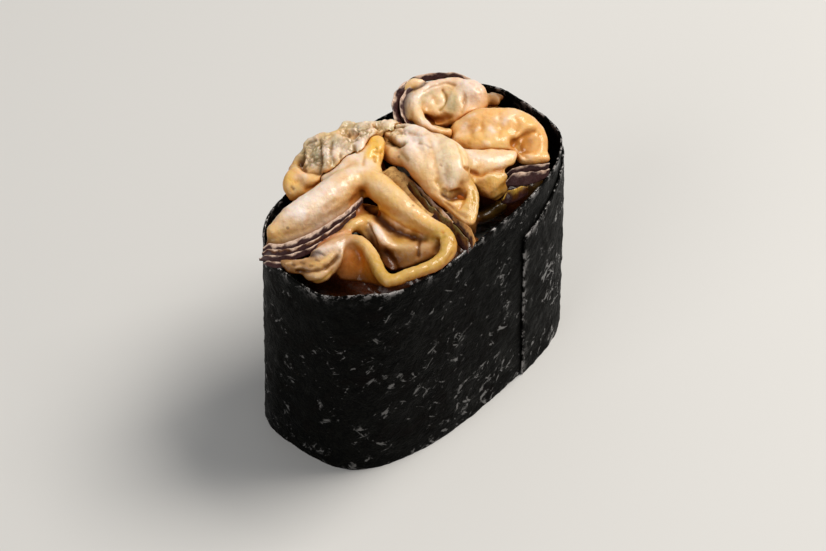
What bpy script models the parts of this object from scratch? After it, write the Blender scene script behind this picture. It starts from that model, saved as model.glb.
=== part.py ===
"""Mussel gunkan sushi: a nori band wrapped round pressed rice, with five mussels heaped in its top.

Blender 4.5, metres, +Z up. The origin is the middle of the underside, +X runs along the oval towards
the end where the nori's outer turn ends, and -X is the end with the large opened mussel.
Every piece is one closed solid in its own object, and the pieces keep a small gap to each other.
"""

import math

import bmesh
import bpy
from mathutils import Matrix, Vector

MM = 0.001

# The nori band: a strip, one sixth of a sheet wide, wrapped round the rice into an oval.
BAND_LENGTH = 47.0 * MM
BAND_WIDTH = 26.6 * MM
BAND_HEIGHT = 33.0 * MM
NORI_THICKNESS = 0.45 * MM
OVAL_POWER = 2.95  # 2 is an ellipse, and more is squarer
OVAL_STEPS = 72
BAND_ROWS = 4  # heights at which the wall may wander
BAND_WANDER = 0.22 * MM  # how far the soft wall strays from the oval
RIM_WANDER = 0.3 * MM  # how far its top edge strays from level

# The outer turn of the strip: it overlaps the right side and the back end, and its top edge droops.
FLAP_START = -1.37  # oval angle, in radians, of the strip's cut end
FLAP_END = 0.9
FLAP_STEPS = 26
FLAP_TOP = 26.5 * MM  # top edge at the cut end
FLAP_RISE = 5.8 * MM  # how much higher that edge is at the other end
FLAP_THICKNESS = 0.3 * MM
FLAP_BITE = 0.2 * MM  # how far it reaches into the first turn, so that they are one body

# The rice: pressed inside the band, level with its lower edge.
RICE_TOP = 25.4 * MM
RICE_RELIEF = 0.9 * MM  # how deep the dips between its grains are
RICE_GRAIN = 3.4 * MM  # the grains' spacing
RICE_RINGS = 8
RICE_EDGE = 0.8 * MM  # the rounding of its lower edge
RICE_THINNING = 0.6  # the share of its faces that is kept

GAP = 0.35 * MM  # between neighbouring pieces
MUSSEL_FLOOR = RICE_TOP + GAP
MUSSEL_GAP = 0.55 * MM  # between two mussels before their surfaces are thinned out
VOXEL = 0.42 * MM  # the grain of the mussels' surfaces while their lobes are being joined
PATH_STEPS = 5  # stations between two rows of a lobe or a fold
ROUND_STEPS = 8  # facets over half a round section

COLOURS = {
    "nori_band": ((0.012, 0.013, 0.011), 0.45),
    "rice": ((0.80, 0.76, 0.66), 0.5),
    "mussel_front": ((0.62, 0.40, 0.19), 0.3),
    "mussel_middle": ((0.70, 0.53, 0.31), 0.3),
    "mussel_frilly": ((0.52, 0.42, 0.24), 0.35),
    "mussel_right": ((0.76, 0.47, 0.19), 0.3),
    "mussel_curled": ((0.60, 0.44, 0.23), 0.32),
}

# Each mussel is lobes, folds and pillows, in millimetres. A lobe is a round strand of flesh: its rows
# are the centre's x, y and z, and the radius. A fold is an upright sheet with a rounded top: its rows
# are x, y, the height of its top and half its thickness. A pillow is a soft lump: its centre and its
# three half sizes.
MUSSELS = {
    # Opened out: a thick lobe bent at an elbow, and the mantle's thin lip looping in front of it.
    "mussel_front": {
        "triangles": 2200,
        "lobes": [
            [(-20.2, 8.0, 34.4, 1.4), (-17.4, 7.8, 34.4, 2.3), (-13.4, 7.6, 34.6, 2.8),
             (-9.4, 7.3, 35.0, 2.9), (-6.0, 6.6, 35.5, 2.7), (-4.6, 5.2, 35.7, 2.3)],
            [(-5.4, 5.4, 35.6, 2.2), (-5.4, 2.6, 35.6, 2.0), (-5.5, -1.0, 35.2, 1.9),
             (-5.4, -4.6, 34.7, 1.7), (-5.2, -8.0, 34.2, 1.4), (-5.3, -11.0, 33.9, 1.2)],
            [(-6.6, 2.6, 34.3, 0.8), (-7.4, -1.0, 34.0, 0.8), (-6.8, -5.2, 33.7, 0.8),
             (-5.8, -9.0, 33.5, 0.8)],
        ],
        "folds": [
            [(-5.4, -11.6, 34.6, 0.9), (-6.6, -12.1, 34.6, 0.8), (-9.4, -11.6, 34.5, 0.8),
             (-13.1, -10.6, 34.4, 0.8), (-15.7, -9.8, 34.3, 0.8), (-16.0, -8.8, 34.3, 0.8),
             (-15.0, -7.0, 34.4, 0.7), (-13.8, -5.1, 34.5, 0.7), (-13.1, -3.1, 34.7, 0.7),
             (-13.6, -1.0, 34.7, 0.7), (-15.3, 0.4, 34.7, 0.7), (-17.8, 1.4, 34.7, 0.8),
             (-20.3, 3.0, 34.6, 0.8), (-21.7, 5.2, 34.6, 0.8)],
            [(-22.2, 7.2, 34.8, 0.7), (-21.0, 5.4, 34.8, 0.8), (-18.8, 4.1, 34.8, 0.8),
             (-15.6, 3.3, 35.0, 0.8), (-12.4, 2.9, 35.2, 0.8), (-9.6, 2.8, 35.4, 0.8),
             (-7.1, 3.0, 35.6, 0.8)],
            [(-21.6, 3.4, 33.2, 0.8), (-21.2, 1.2, 32.8, 0.9), (-20.4, -1.0, 32.2, 1.0),
             (-19.2, -2.4, 31.0, 0.9)],
        ],
        "pillows": [
            ((-13.0, 6.8, 30.0), (8.2, 3.4, 5.0)),
            ((-5.6, -2.6, 30.0), (2.0, 9.4, 5.0)),
            ((-9.2, -4.2, 28.4), (4.8, 6.8, 3.0)),
            ((-16.4, -2.4, 26.8), (5.0, 7.0, 2.2)),
            ((-8.2, -1.6, 31.0), (1.3, 1.9, 1.6)),
            ((-7.4, -6.0, 30.8), (1.3, 1.8, 1.4)),
            ((-19.8, -0.8, 29.6), (1.9, 2.6, 2.4)),
        ],
    },
    # Two plump lobes side by side across the oval, with a thin fringe along their front.
    "mussel_middle": {
        "triangles": 1250,
        "lobes": [
            [(3.7, 6.2, 35.8, 2.0), (2.7, 2.4, 36.0, 2.2), (1.9, -1.4, 35.7, 2.2),
             (1.5, -4.6, 35.0, 1.8), (1.0, -7.2, 34.1, 1.4), (0.4, -9.4, 33.4, 0.9)],
            [(6.6, 3.0, 35.4, 1.8), (5.4, -0.8, 36.0, 2.3), (4.3, -4.2, 35.6, 2.2),
             (3.6, -6.8, 34.6, 1.6), (2.5, -8.8, 33.7, 1.1), (1.0, -9.9, 33.1, 0.8)],
        ],
        "folds": [
            [(-0.6, 4.0, 35.8, 0.6), (-1.4, 0.4, 35.4, 0.6), (-1.7, -3.4, 35.0, 0.6),
             (-1.8, -7.2, 34.6, 0.6), (-1.6, -10.6, 34.1, 0.5)],
        ],
        "pillows": [((1.8, -2.4, 29.6), (3.8, 7.4, 4.4))],
    },
    # Lying along the far wall with its ruffled gills uppermost and a plump end towards the front.
    "mussel_frilly": {
        "triangles": 1250,
        "lobes": [
            [(-9.6, 12.0, 35.4, 1.8), (-6.6, 12.2, 36.2, 2.1), (-3.4, 11.8, 36.6, 2.2),
             (-0.4, 11.0, 36.8, 2.3), (2.6, 9.4, 36.4, 2.2), (4.6, 7.6, 35.8, 1.7)],
            [(-8.4, 10.8, 35.4, 1.4), (-4.8, 10.6, 36.4, 1.4), (-1.4, 9.6, 36.8, 1.4), (1.2, 8.2, 36.8, 1.2)],
            [(-11.6, 12.2, 33.6, 1.5), (-10.0, 11.6, 34.3, 2.0), (-7.8, 10.4, 34.4, 1.6)],
            [(-1.4, 6.0, 36.8, 1.3), (0.2, 7.6, 37.2, 1.3)],
        ],
        "folds": [],
        "pillows": [((-4.4, 10.6, 31.0), (7.4, 2.6, 5.2)), ((-0.4, 7.4, 32.0), (2.2, 2.2, 4.2))],
    },
    # A big round lobe curling over itself, with small folds and a fringe under its near edge.
    "mussel_right": {
        "triangles": 1400,
        "lobes": [
            [(10.2, 0.4, 34.8, 2.1), (12.8, 0.6, 34.9, 2.2), (15.6, -0.5, 35.0, 2.4),
             (17.6, -2.6, 35.0, 2.4), (18.2, -5.2, 34.8, 2.0), (17.2, -7.9, 34.5, 1.6),
             (15.2, -9.2, 34.1, 1.4)],
            [(8.8, -1.4, 35.0, 1.3), (9.9, -3.9, 35.1, 1.4), (11.4, -5.9, 34.9, 1.3),
             (13.4, -7.8, 34.5, 1.2), (15.2, -9.6, 34.2, 1.0)],
            [(7.0, -3.4, 33.8, 1.0), (8.0, -5.2, 33.5, 1.1), (9.2, -6.7, 33.2, 1.1), (11.0, -7.4, 33.2, 1.0)],
        ],
        "folds": [
            [(10.5, -8.2, 33.4, 0.6), (12.0, -9.6, 33.6, 0.6), (14.0, -10.4, 34.0, 0.6),
             (16.2, -10.6, 34.4, 0.6)],
        ],
        "pillows": [
            ((13.2, -2.6, 33.2), (4.6, 4.2, 3.5)),
            ((14.8, -7.0, 31.0), (2.8, 3.0, 2.7)),
            ((12.2, -4.0, 29.2), (6.8, 6.2, 4.0)),
            ((9.4, -8.4, 29.0), (2.6, 2.6, 2.8)),
            ((18.6, -0.4, 28.4), (3.4, 3.4, 2.6)),
            ((20.8, 3.2, 29.6), (2.0, 2.8, 2.9)),
        ],
    },
    # Curled into a ring round a small hollow.
    "mussel_curled": {
        "triangles": 1250,
        "lobes": [],
        "folds": [
            [(10.0, 3.2, 35.4, 0.9), (8.9, 5.0, 35.6, 1.0), (8.8, 7.6, 36.0, 1.1),
             (9.8, 10.2, 36.5, 1.2), (12.2, 11.6, 37.0, 1.2), (14.9, 11.2, 37.2, 1.2),
             (16.9, 9.4, 37.2, 1.3), (18.0, 7.0, 37.0, 1.6), (17.9, 4.8, 36.6, 1.9)],
            [(11.0, 4.2, 35.2, 0.8), (10.3, 6.4, 35.5, 0.8), (11.2, 8.6, 35.8, 0.8),
             (13.2, 9.4, 36.1, 0.8), (15.4, 8.4, 36.3, 1.0), (16.0, 6.6, 36.2, 1.1)],
        ],
        "pillows": [((17.2, 5.4, 33.8), (2.2, 2.6, 2.6)), ((13.2, 7.2, 29.6), (6.2, 5.0, 3.6))],
    },
}


# ---------------------------------------------------------------- objects


def clear_scene():
    for old in list(bpy.data.objects):
        bpy.data.objects.remove(old)


def new_object(name, mesh):
    piece = bpy.data.objects.new(name, mesh)
    bpy.context.scene.collection.objects.link(piece)
    return piece


def object_from(name, shape):
    """An object from a bmesh, which is then freed."""
    bmesh.ops.recalc_face_normals(shape, faces=shape.faces)
    mesh = bpy.data.meshes.new(name)
    shape.to_mesh(mesh)
    shape.free()
    return new_object(name, mesh)


def modify(piece, kind, **settings):
    modifier = piece.modifiers.new(kind.title(), kind)
    for setting, value in settings.items():
        setattr(modifier, setting, value)


def settle(piece):
    """Works the piece's modifiers into its mesh."""
    bpy.context.view_layer.update()
    graph = bpy.context.evaluated_depsgraph_get()
    mesh = bpy.data.meshes.new_from_object(piece.evaluated_get(graph))
    piece.modifiers.clear()
    old, piece.data = piece.data, mesh
    bpy.data.meshes.remove(old)


def paint(piece):
    """Its plain colour, and smooth shading with crisp edges."""
    colour, roughness = COLOURS[piece.name]
    material = bpy.data.materials.new(piece.name)
    material.use_nodes = True
    shader = material.node_tree.nodes["Principled BSDF"]
    shader.inputs["Base Color"].default_value = (*colour, 1.0)
    shader.inputs["Roughness"].default_value = roughness
    shader.inputs["Metallic"].default_value = 0.0
    piece.data.materials.clear()
    piece.data.materials.append(material)
    piece.data.shade_smooth()
    piece.data.set_sharp_from_angle(angle=math.radians(50))


def skin(shape, sections, ring=False):
    """Faces between neighbouring sections, which close on the first one or end in two caps."""
    loops = [[shape.verts.new(corner) for corner in section] for section in sections]
    count = len(loops[0])
    pairs = list(zip(loops, loops[1:]))
    if ring:
        pairs.append((loops[-1], loops[0]))
    for loop, after in pairs:
        for k in range(count):
            shape.faces.new((loop[k], after[k], after[(k + 1) % count], loop[(k + 1) % count]))
    if not ring:
        shape.faces.new(loops[0])
        shape.faces.new(loops[-1])


# ---------------------------------------------------------------- the nori band


def oval_point(angle, inset=0.0):
    """A point of the oval, that far inside the band's outer face."""
    cosine, sine = math.cos(angle), math.sin(angle)
    power = 2 / OVAL_POWER
    x = (BAND_LENGTH / 2 - inset) * math.copysign(abs(cosine) ** power, cosine)
    y = (BAND_WIDTH / 2 - inset) * math.copysign(abs(sine) ** power, sine)
    return Vector((x, y))


def even_angles(start, end, steps):
    """Angles from start to end whose oval points are about evenly spaced."""
    fine = 40 * steps
    angles = [start + (end - start) * i / fine for i in range(fine + 1)]
    reached = [0.0]
    for before, after in zip(angles, angles[1:]):
        reached.append(reached[-1] + (oval_point(after) - oval_point(before)).length)
    found, i = [], 0
    for step in range(steps + 1):
        while reached[i] < reached[-1] * step / steps and i < fine:
            i += 1
        found.append(angles[i])
    return found


def wander(angle, height):
    """How far the soft band strays outwards there, as a share from -1 to 1."""
    level = height / BAND_HEIGHT
    return 0.55 * math.sin(3 * angle + 2.2 * level) + 0.45 * math.sin(7 * angle - 3.1 * level + 1)


def rim_height(angle):
    stray = 0.6 * math.sin(4 * angle + 0.5) + 0.4 * math.sin(9 * angle)
    return BAND_HEIGHT - RIM_WANDER * (1 - stray)


def wall_section(angle, inside, outside, bottom, top):
    """The corners round an upright cut through the wall, up its outer side and down its inner one."""
    rows = [bottom + (top - bottom) * row / BAND_ROWS for row in range(BAND_ROWS + 1)]
    corners = [(outside, z) for z in rows] + [(inside, z) for z in reversed(rows)]
    return [(*oval_point(angle, inset - BAND_WANDER * wander(angle, z)), z) for inset, z in corners]


def band_shape(inside, outside, bottom, above_rim=0.0):
    shape = bmesh.new()
    angles = even_angles(0, math.tau, OVAL_STEPS)[:-1]
    skin(
        shape,
        [wall_section(angle, inside, outside, bottom, rim_height(angle) + above_rim) for angle in angles],
        ring=True,
    )
    return shape


def flap_shape():
    """The outer turn: a thin plate round the end of the oval, thinner towards where it sets off."""
    shape = bmesh.new()
    sections = []
    for i, angle in enumerate(even_angles(FLAP_START, FLAP_END, FLAP_STEPS)):
        along = i / FLAP_STEPS
        top = FLAP_TOP + FLAP_RISE * math.sin(along * math.pi / 2) ** 0.8
        outside = -FLAP_THICKNESS * (1 - 0.8 * along**4)
        sections.append(wall_section(angle, FLAP_BITE, outside, 0.0, top))
    skin(shape, sections)
    return shape


def make_nori():
    band = object_from("nori_band", band_shape(NORI_THICKNESS, 0.0, 0.0))
    flap = object_from("nori_flap", flap_shape())
    modify(band, "BOOLEAN", operation="UNION", object=flap)
    settle(band)
    bpy.data.objects.remove(flap)
    paint(band)


# ---------------------------------------------------------------- the rice


def grain_relief(x, y):
    """0 in a dip between grains and up to 1 on top of one: two crossing rows of long bumps."""
    u = x * 0.86 + y * 0.5
    v = y * 0.86 - x * 0.5
    swing = math.sin(v * math.tau / (RICE_GRAIN * 3.1)) * 1.3
    rows = math.cos(u * math.tau / (RICE_GRAIN * 1.7) + swing)
    columns = math.cos(v * math.tau / RICE_GRAIN + 0.8 * math.sin(u * math.tau / (RICE_GRAIN * 2.3)))
    return 0.5 + 0.25 * (rows + columns)


def rice_surface(x, y):
    return RICE_TOP - RICE_RELIEF * (1 - grain_relief(x, y))


def rice_ring(shrink, height_at):
    inset = NORI_THICKNESS + GAP + BAND_WANDER
    ring = []
    for angle in even_angles(0, math.tau, OVAL_STEPS)[:-1]:
        x, y = oval_point(angle, inset) * shrink
        ring.append((x, y, height_at(x, y)))
    return ring


def make_rice():
    """Rings from the rounded foot up the side and in over the top."""
    edge = 1 - 2 * RICE_EDGE / BAND_WIDTH
    rings = [
        rice_ring(edge, lambda x, y: 0.0),
        rice_ring(1.0, lambda x, y: RICE_EDGE),
        rice_ring(1.0, lambda x, y: RICE_TOP - 2 * RICE_EDGE),
    ]
    for i in range(RICE_RINGS):
        rings.append(rice_ring(edge * (1 - i / RICE_RINGS), rice_surface))
    shape = bmesh.new()
    skin(shape, rings)
    rice = object_from("rice", shape)
    modify(rice, "TRIANGULATE")
    modify(rice, "DECIMATE", decimate_type="COLLAPSE", ratio=RICE_THINNING)
    settle(rice)
    paint(rice)


# ---------------------------------------------------------------- the mussels


def smooth_rows(rows):
    """The rows with more between each pair, all on one smooth curve."""
    padded = [rows[0], *rows, rows[-1]]
    found = []
    for before, start, end, after in zip(padded, padded[1:], padded[2:], padded[3:]):
        for step in range(PATH_STEPS):
            t = step / PATH_STEPS
            row = []
            for a, b, c, d in zip(before, start, end, after):
                curve = (2 * b, c - a, 2 * a - 5 * b + 4 * c - d, 3 * b - a - 3 * c + d)
                row.append(sum(part * t**power for power, part in enumerate(curve)) / 2)
            found.append(tuple(row))
    return [*found, rows[-1]]


def directions(points):
    """The way the path runs at each of its points."""
    ways = []
    for i in range(len(points)):
        ways.append((points[min(i + 1, len(points) - 1)] - points[max(i - 1, 0)]).normalized())
    return ways


def add_lobe(shape, rows):
    """A round strand along the rows, with round ends."""
    stations = smooth_rows(rows)
    centres = [Vector(station[:3]) for station in stations]
    sections = []
    for centre, way, station in zip(centres, directions(centres), stations):
        across = way.cross(Vector((0, 0, 1))).normalized()
        lift = across.cross(way)
        section = []
        for k in range(2 * ROUND_STEPS):
            turn = math.pi * k / ROUND_STEPS
            section.append((centre + station[3] * (across * math.cos(turn) + lift * math.sin(turn))) * MM)
        sections.append(section)
    skin(shape, sections)
    for *centre, radius in (rows[0], rows[-1]):
        add_pillow(shape, centre, (radius, radius, radius))


def add_fold(shape, rows):
    """An upright sheet along the rows, round on top and at both ends, down into the rice."""
    stations = smooth_rows(rows)
    floor = MUSSEL_FLOOR / MM - 1
    centres = [Vector((x, y, 0)) for x, y, top, half in stations]
    sections = []
    for centre, way, (x, y, top, half) in zip(centres, directions(centres), stations):
        across = Vector((-way.y, way.x, 0))
        outline = [(-half, floor)]
        for k in range(ROUND_STEPS + 1):
            turn = math.pi * k / ROUND_STEPS
            outline.append((-half * math.cos(turn), top - half + half * math.sin(turn)))
        outline.append((half, floor))
        sections.append([(centre + across * offset + Vector((0, 0, z))) * MM for offset, z in outline])
    skin(shape, sections)
    for x, y, top, half in (rows[0], rows[-1]):
        add_pillow(shape, (x, y, top - half), (half, half, half))


def add_pillow(shape, centre, half_sizes):
    place = Matrix.Translation(Vector(centre) * MM) @ Matrix.Diagonal((*(Vector(half_sizes) * MM), 1.0))
    bmesh.ops.create_uvsphere(shape, u_segments=24, v_segments=14, radius=1.0, matrix=place)


def swollen(piece):
    """A helper copy of the mussel that holds the next ones off."""
    helper = new_object(piece.name + "_swollen", piece.data.copy())
    modify(helper, "DISPLACE", strength=MUSSEL_GAP, mid_level=0.0, direction="NORMAL")
    settle(helper)
    return helper


def floor_box():
    """What lies below the mussels: everything under the top of the rice."""
    shape = bmesh.new()
    depth = BAND_HEIGHT / 4
    place = Matrix.Translation((0, 0, MUSSEL_FLOOR - depth / 2))
    sizes = Matrix.Diagonal((BAND_LENGTH * 1.5, BAND_WIDTH * 1.5, depth, 1.0))
    bmesh.ops.create_cube(shape, size=1.0, matrix=place @ sizes)
    return object_from("floor_box", shape)


def band_room():
    """The band with a gap all round it, from inside the rice to over its rim."""
    outside = -6 * NORI_THICKNESS
    return object_from("band_room", band_shape(NORI_THICKNESS + GAP, outside, BAND_HEIGHT / 3, GAP))


def make_mussel(name, obstacles):
    """Its lobes grown together, cut back from what lies round it, and thinned out."""
    plan = MUSSELS[name]
    shape = bmesh.new()
    for rows in plan["lobes"]:
        add_lobe(shape, rows)
    for rows in plan["folds"]:
        add_fold(shape, rows)
    for centre, half_sizes in plan["pillows"]:
        add_pillow(shape, centre, half_sizes)
    mussel = object_from(name, shape)
    modify(mussel, "REMESH", mode="VOXEL", voxel_size=VOXEL)
    settle(mussel)
    for obstacle in obstacles:
        modify(mussel, "BOOLEAN", operation="DIFFERENCE", object=obstacle)
    modify(mussel, "REMESH", mode="VOXEL", voxel_size=VOXEL)
    modify(mussel, "SMOOTH", factor=0.5, iterations=3)
    settle(mussel)
    keep_largest(mussel)
    modify(mussel, "DECIMATE", decimate_type="COLLAPSE", ratio=plan["triangles"] / triangles(mussel))
    settle(mussel)
    paint(mussel)
    return mussel


def triangles(piece):
    piece.data.calc_loop_triangles()
    return len(piece.data.loop_triangles)


def keep_largest(piece):
    """Drops the crumbs that a cut may leave beside the main body."""
    shape = bmesh.new()
    shape.from_mesh(piece.data)
    left, bodies = set(shape.verts), []
    while left:
        body, edge = set(), {next(iter(left))}
        while edge:
            body |= edge
            edge = {link.other_vert(vert) for vert in edge for link in vert.link_edges} - body
        left -= body
        bodies.append(body)
    bodies.sort(key=len)
    crumbs = [vert for body in bodies[:-1] for vert in body]
    bmesh.ops.delete(shape, geom=crumbs, context="VERTS")
    shape.to_mesh(piece.data)
    shape.free()


def make_mussels():
    """Each mussel gives way to the ones made before it."""
    helpers = [floor_box(), band_room()]
    for name in MUSSELS:
        helpers.append(swollen(make_mussel(name, helpers)))
    for helper in helpers:
        bpy.data.objects.remove(helper)


def main():
    clear_scene()
    make_nori()
    make_rice()
    make_mussels()


main()
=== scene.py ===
"""Mussel gunkan sushi: the nori band, its rice and the five mussels heaped in its top."""

import math
from itertools import product

import bmesh
import bpy
import numpy as np
from mathutils import Matrix, Vector, noise
from mathutils.bvhtree import BVHTree


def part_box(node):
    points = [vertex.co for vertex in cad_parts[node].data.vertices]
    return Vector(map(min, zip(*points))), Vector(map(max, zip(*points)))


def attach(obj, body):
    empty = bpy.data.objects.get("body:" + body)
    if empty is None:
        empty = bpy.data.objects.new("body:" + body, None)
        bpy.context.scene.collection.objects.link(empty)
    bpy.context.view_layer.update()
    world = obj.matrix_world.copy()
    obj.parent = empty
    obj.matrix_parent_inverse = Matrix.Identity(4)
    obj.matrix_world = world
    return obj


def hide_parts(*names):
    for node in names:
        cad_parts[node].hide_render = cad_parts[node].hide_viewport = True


bl_info = {
    "name": "Mussel gunkan",
    "version": (1, 0, 0),
    "blender": (4, 5, 0),
    "location": "3D View > Sidebar > Gunkan",
    "description": "Builds a nori-wrapped rice oval topped with cooked mussels",
    "category": "Object",
}

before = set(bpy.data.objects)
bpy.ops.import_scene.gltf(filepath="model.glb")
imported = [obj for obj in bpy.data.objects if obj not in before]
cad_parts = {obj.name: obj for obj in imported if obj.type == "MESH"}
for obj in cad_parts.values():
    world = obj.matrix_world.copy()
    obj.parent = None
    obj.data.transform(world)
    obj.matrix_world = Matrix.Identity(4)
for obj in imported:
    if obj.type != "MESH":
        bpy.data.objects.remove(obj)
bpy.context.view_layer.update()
RICE_LOW, RICE_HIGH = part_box("rice")
MM = 0.001
BODY = "root"

# The band's oval, as the frame's solids have it.
BAND_HALF_LENGTH = 23.5 * MM
BAND_HALF_WIDTH = 13.3 * MM
BAND_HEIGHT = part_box("nori_band")[1].z
RIM_LEVEL = 33 * MM
OVAL_POWER = 2.95  # 2 is an ellipse, and more is squarer
WALL = 0.45 * MM
WANDER = 0.22 * MM
RIM_WANDER = 0.3 * MM

# Its front left shoulder, where the sheet stands higher and leans in: an oval angle and its spread.
SHOULDER_ANGLE = 3.87
SHOULDER_SPREAD = 0.36
SHOULDER_RISE = 0.85 * MM
SHOULDER_LEAN = 0.5 * MM

MUSSEL_FLOOR = RICE_HIGH.z + 0.35 * MM

# The way from which strokes are drawn on the mussels: over the band's front left shoulder.
VIEW_TURN = math.radians(-48)
SLANT_RISE = 1.007
SLANT = Vector((math.sin(VIEW_TURN), -math.cos(VIEW_TURN), SLANT_RISE)).normalized()
STROKE_HEIGHT = 36 * MM

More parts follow.
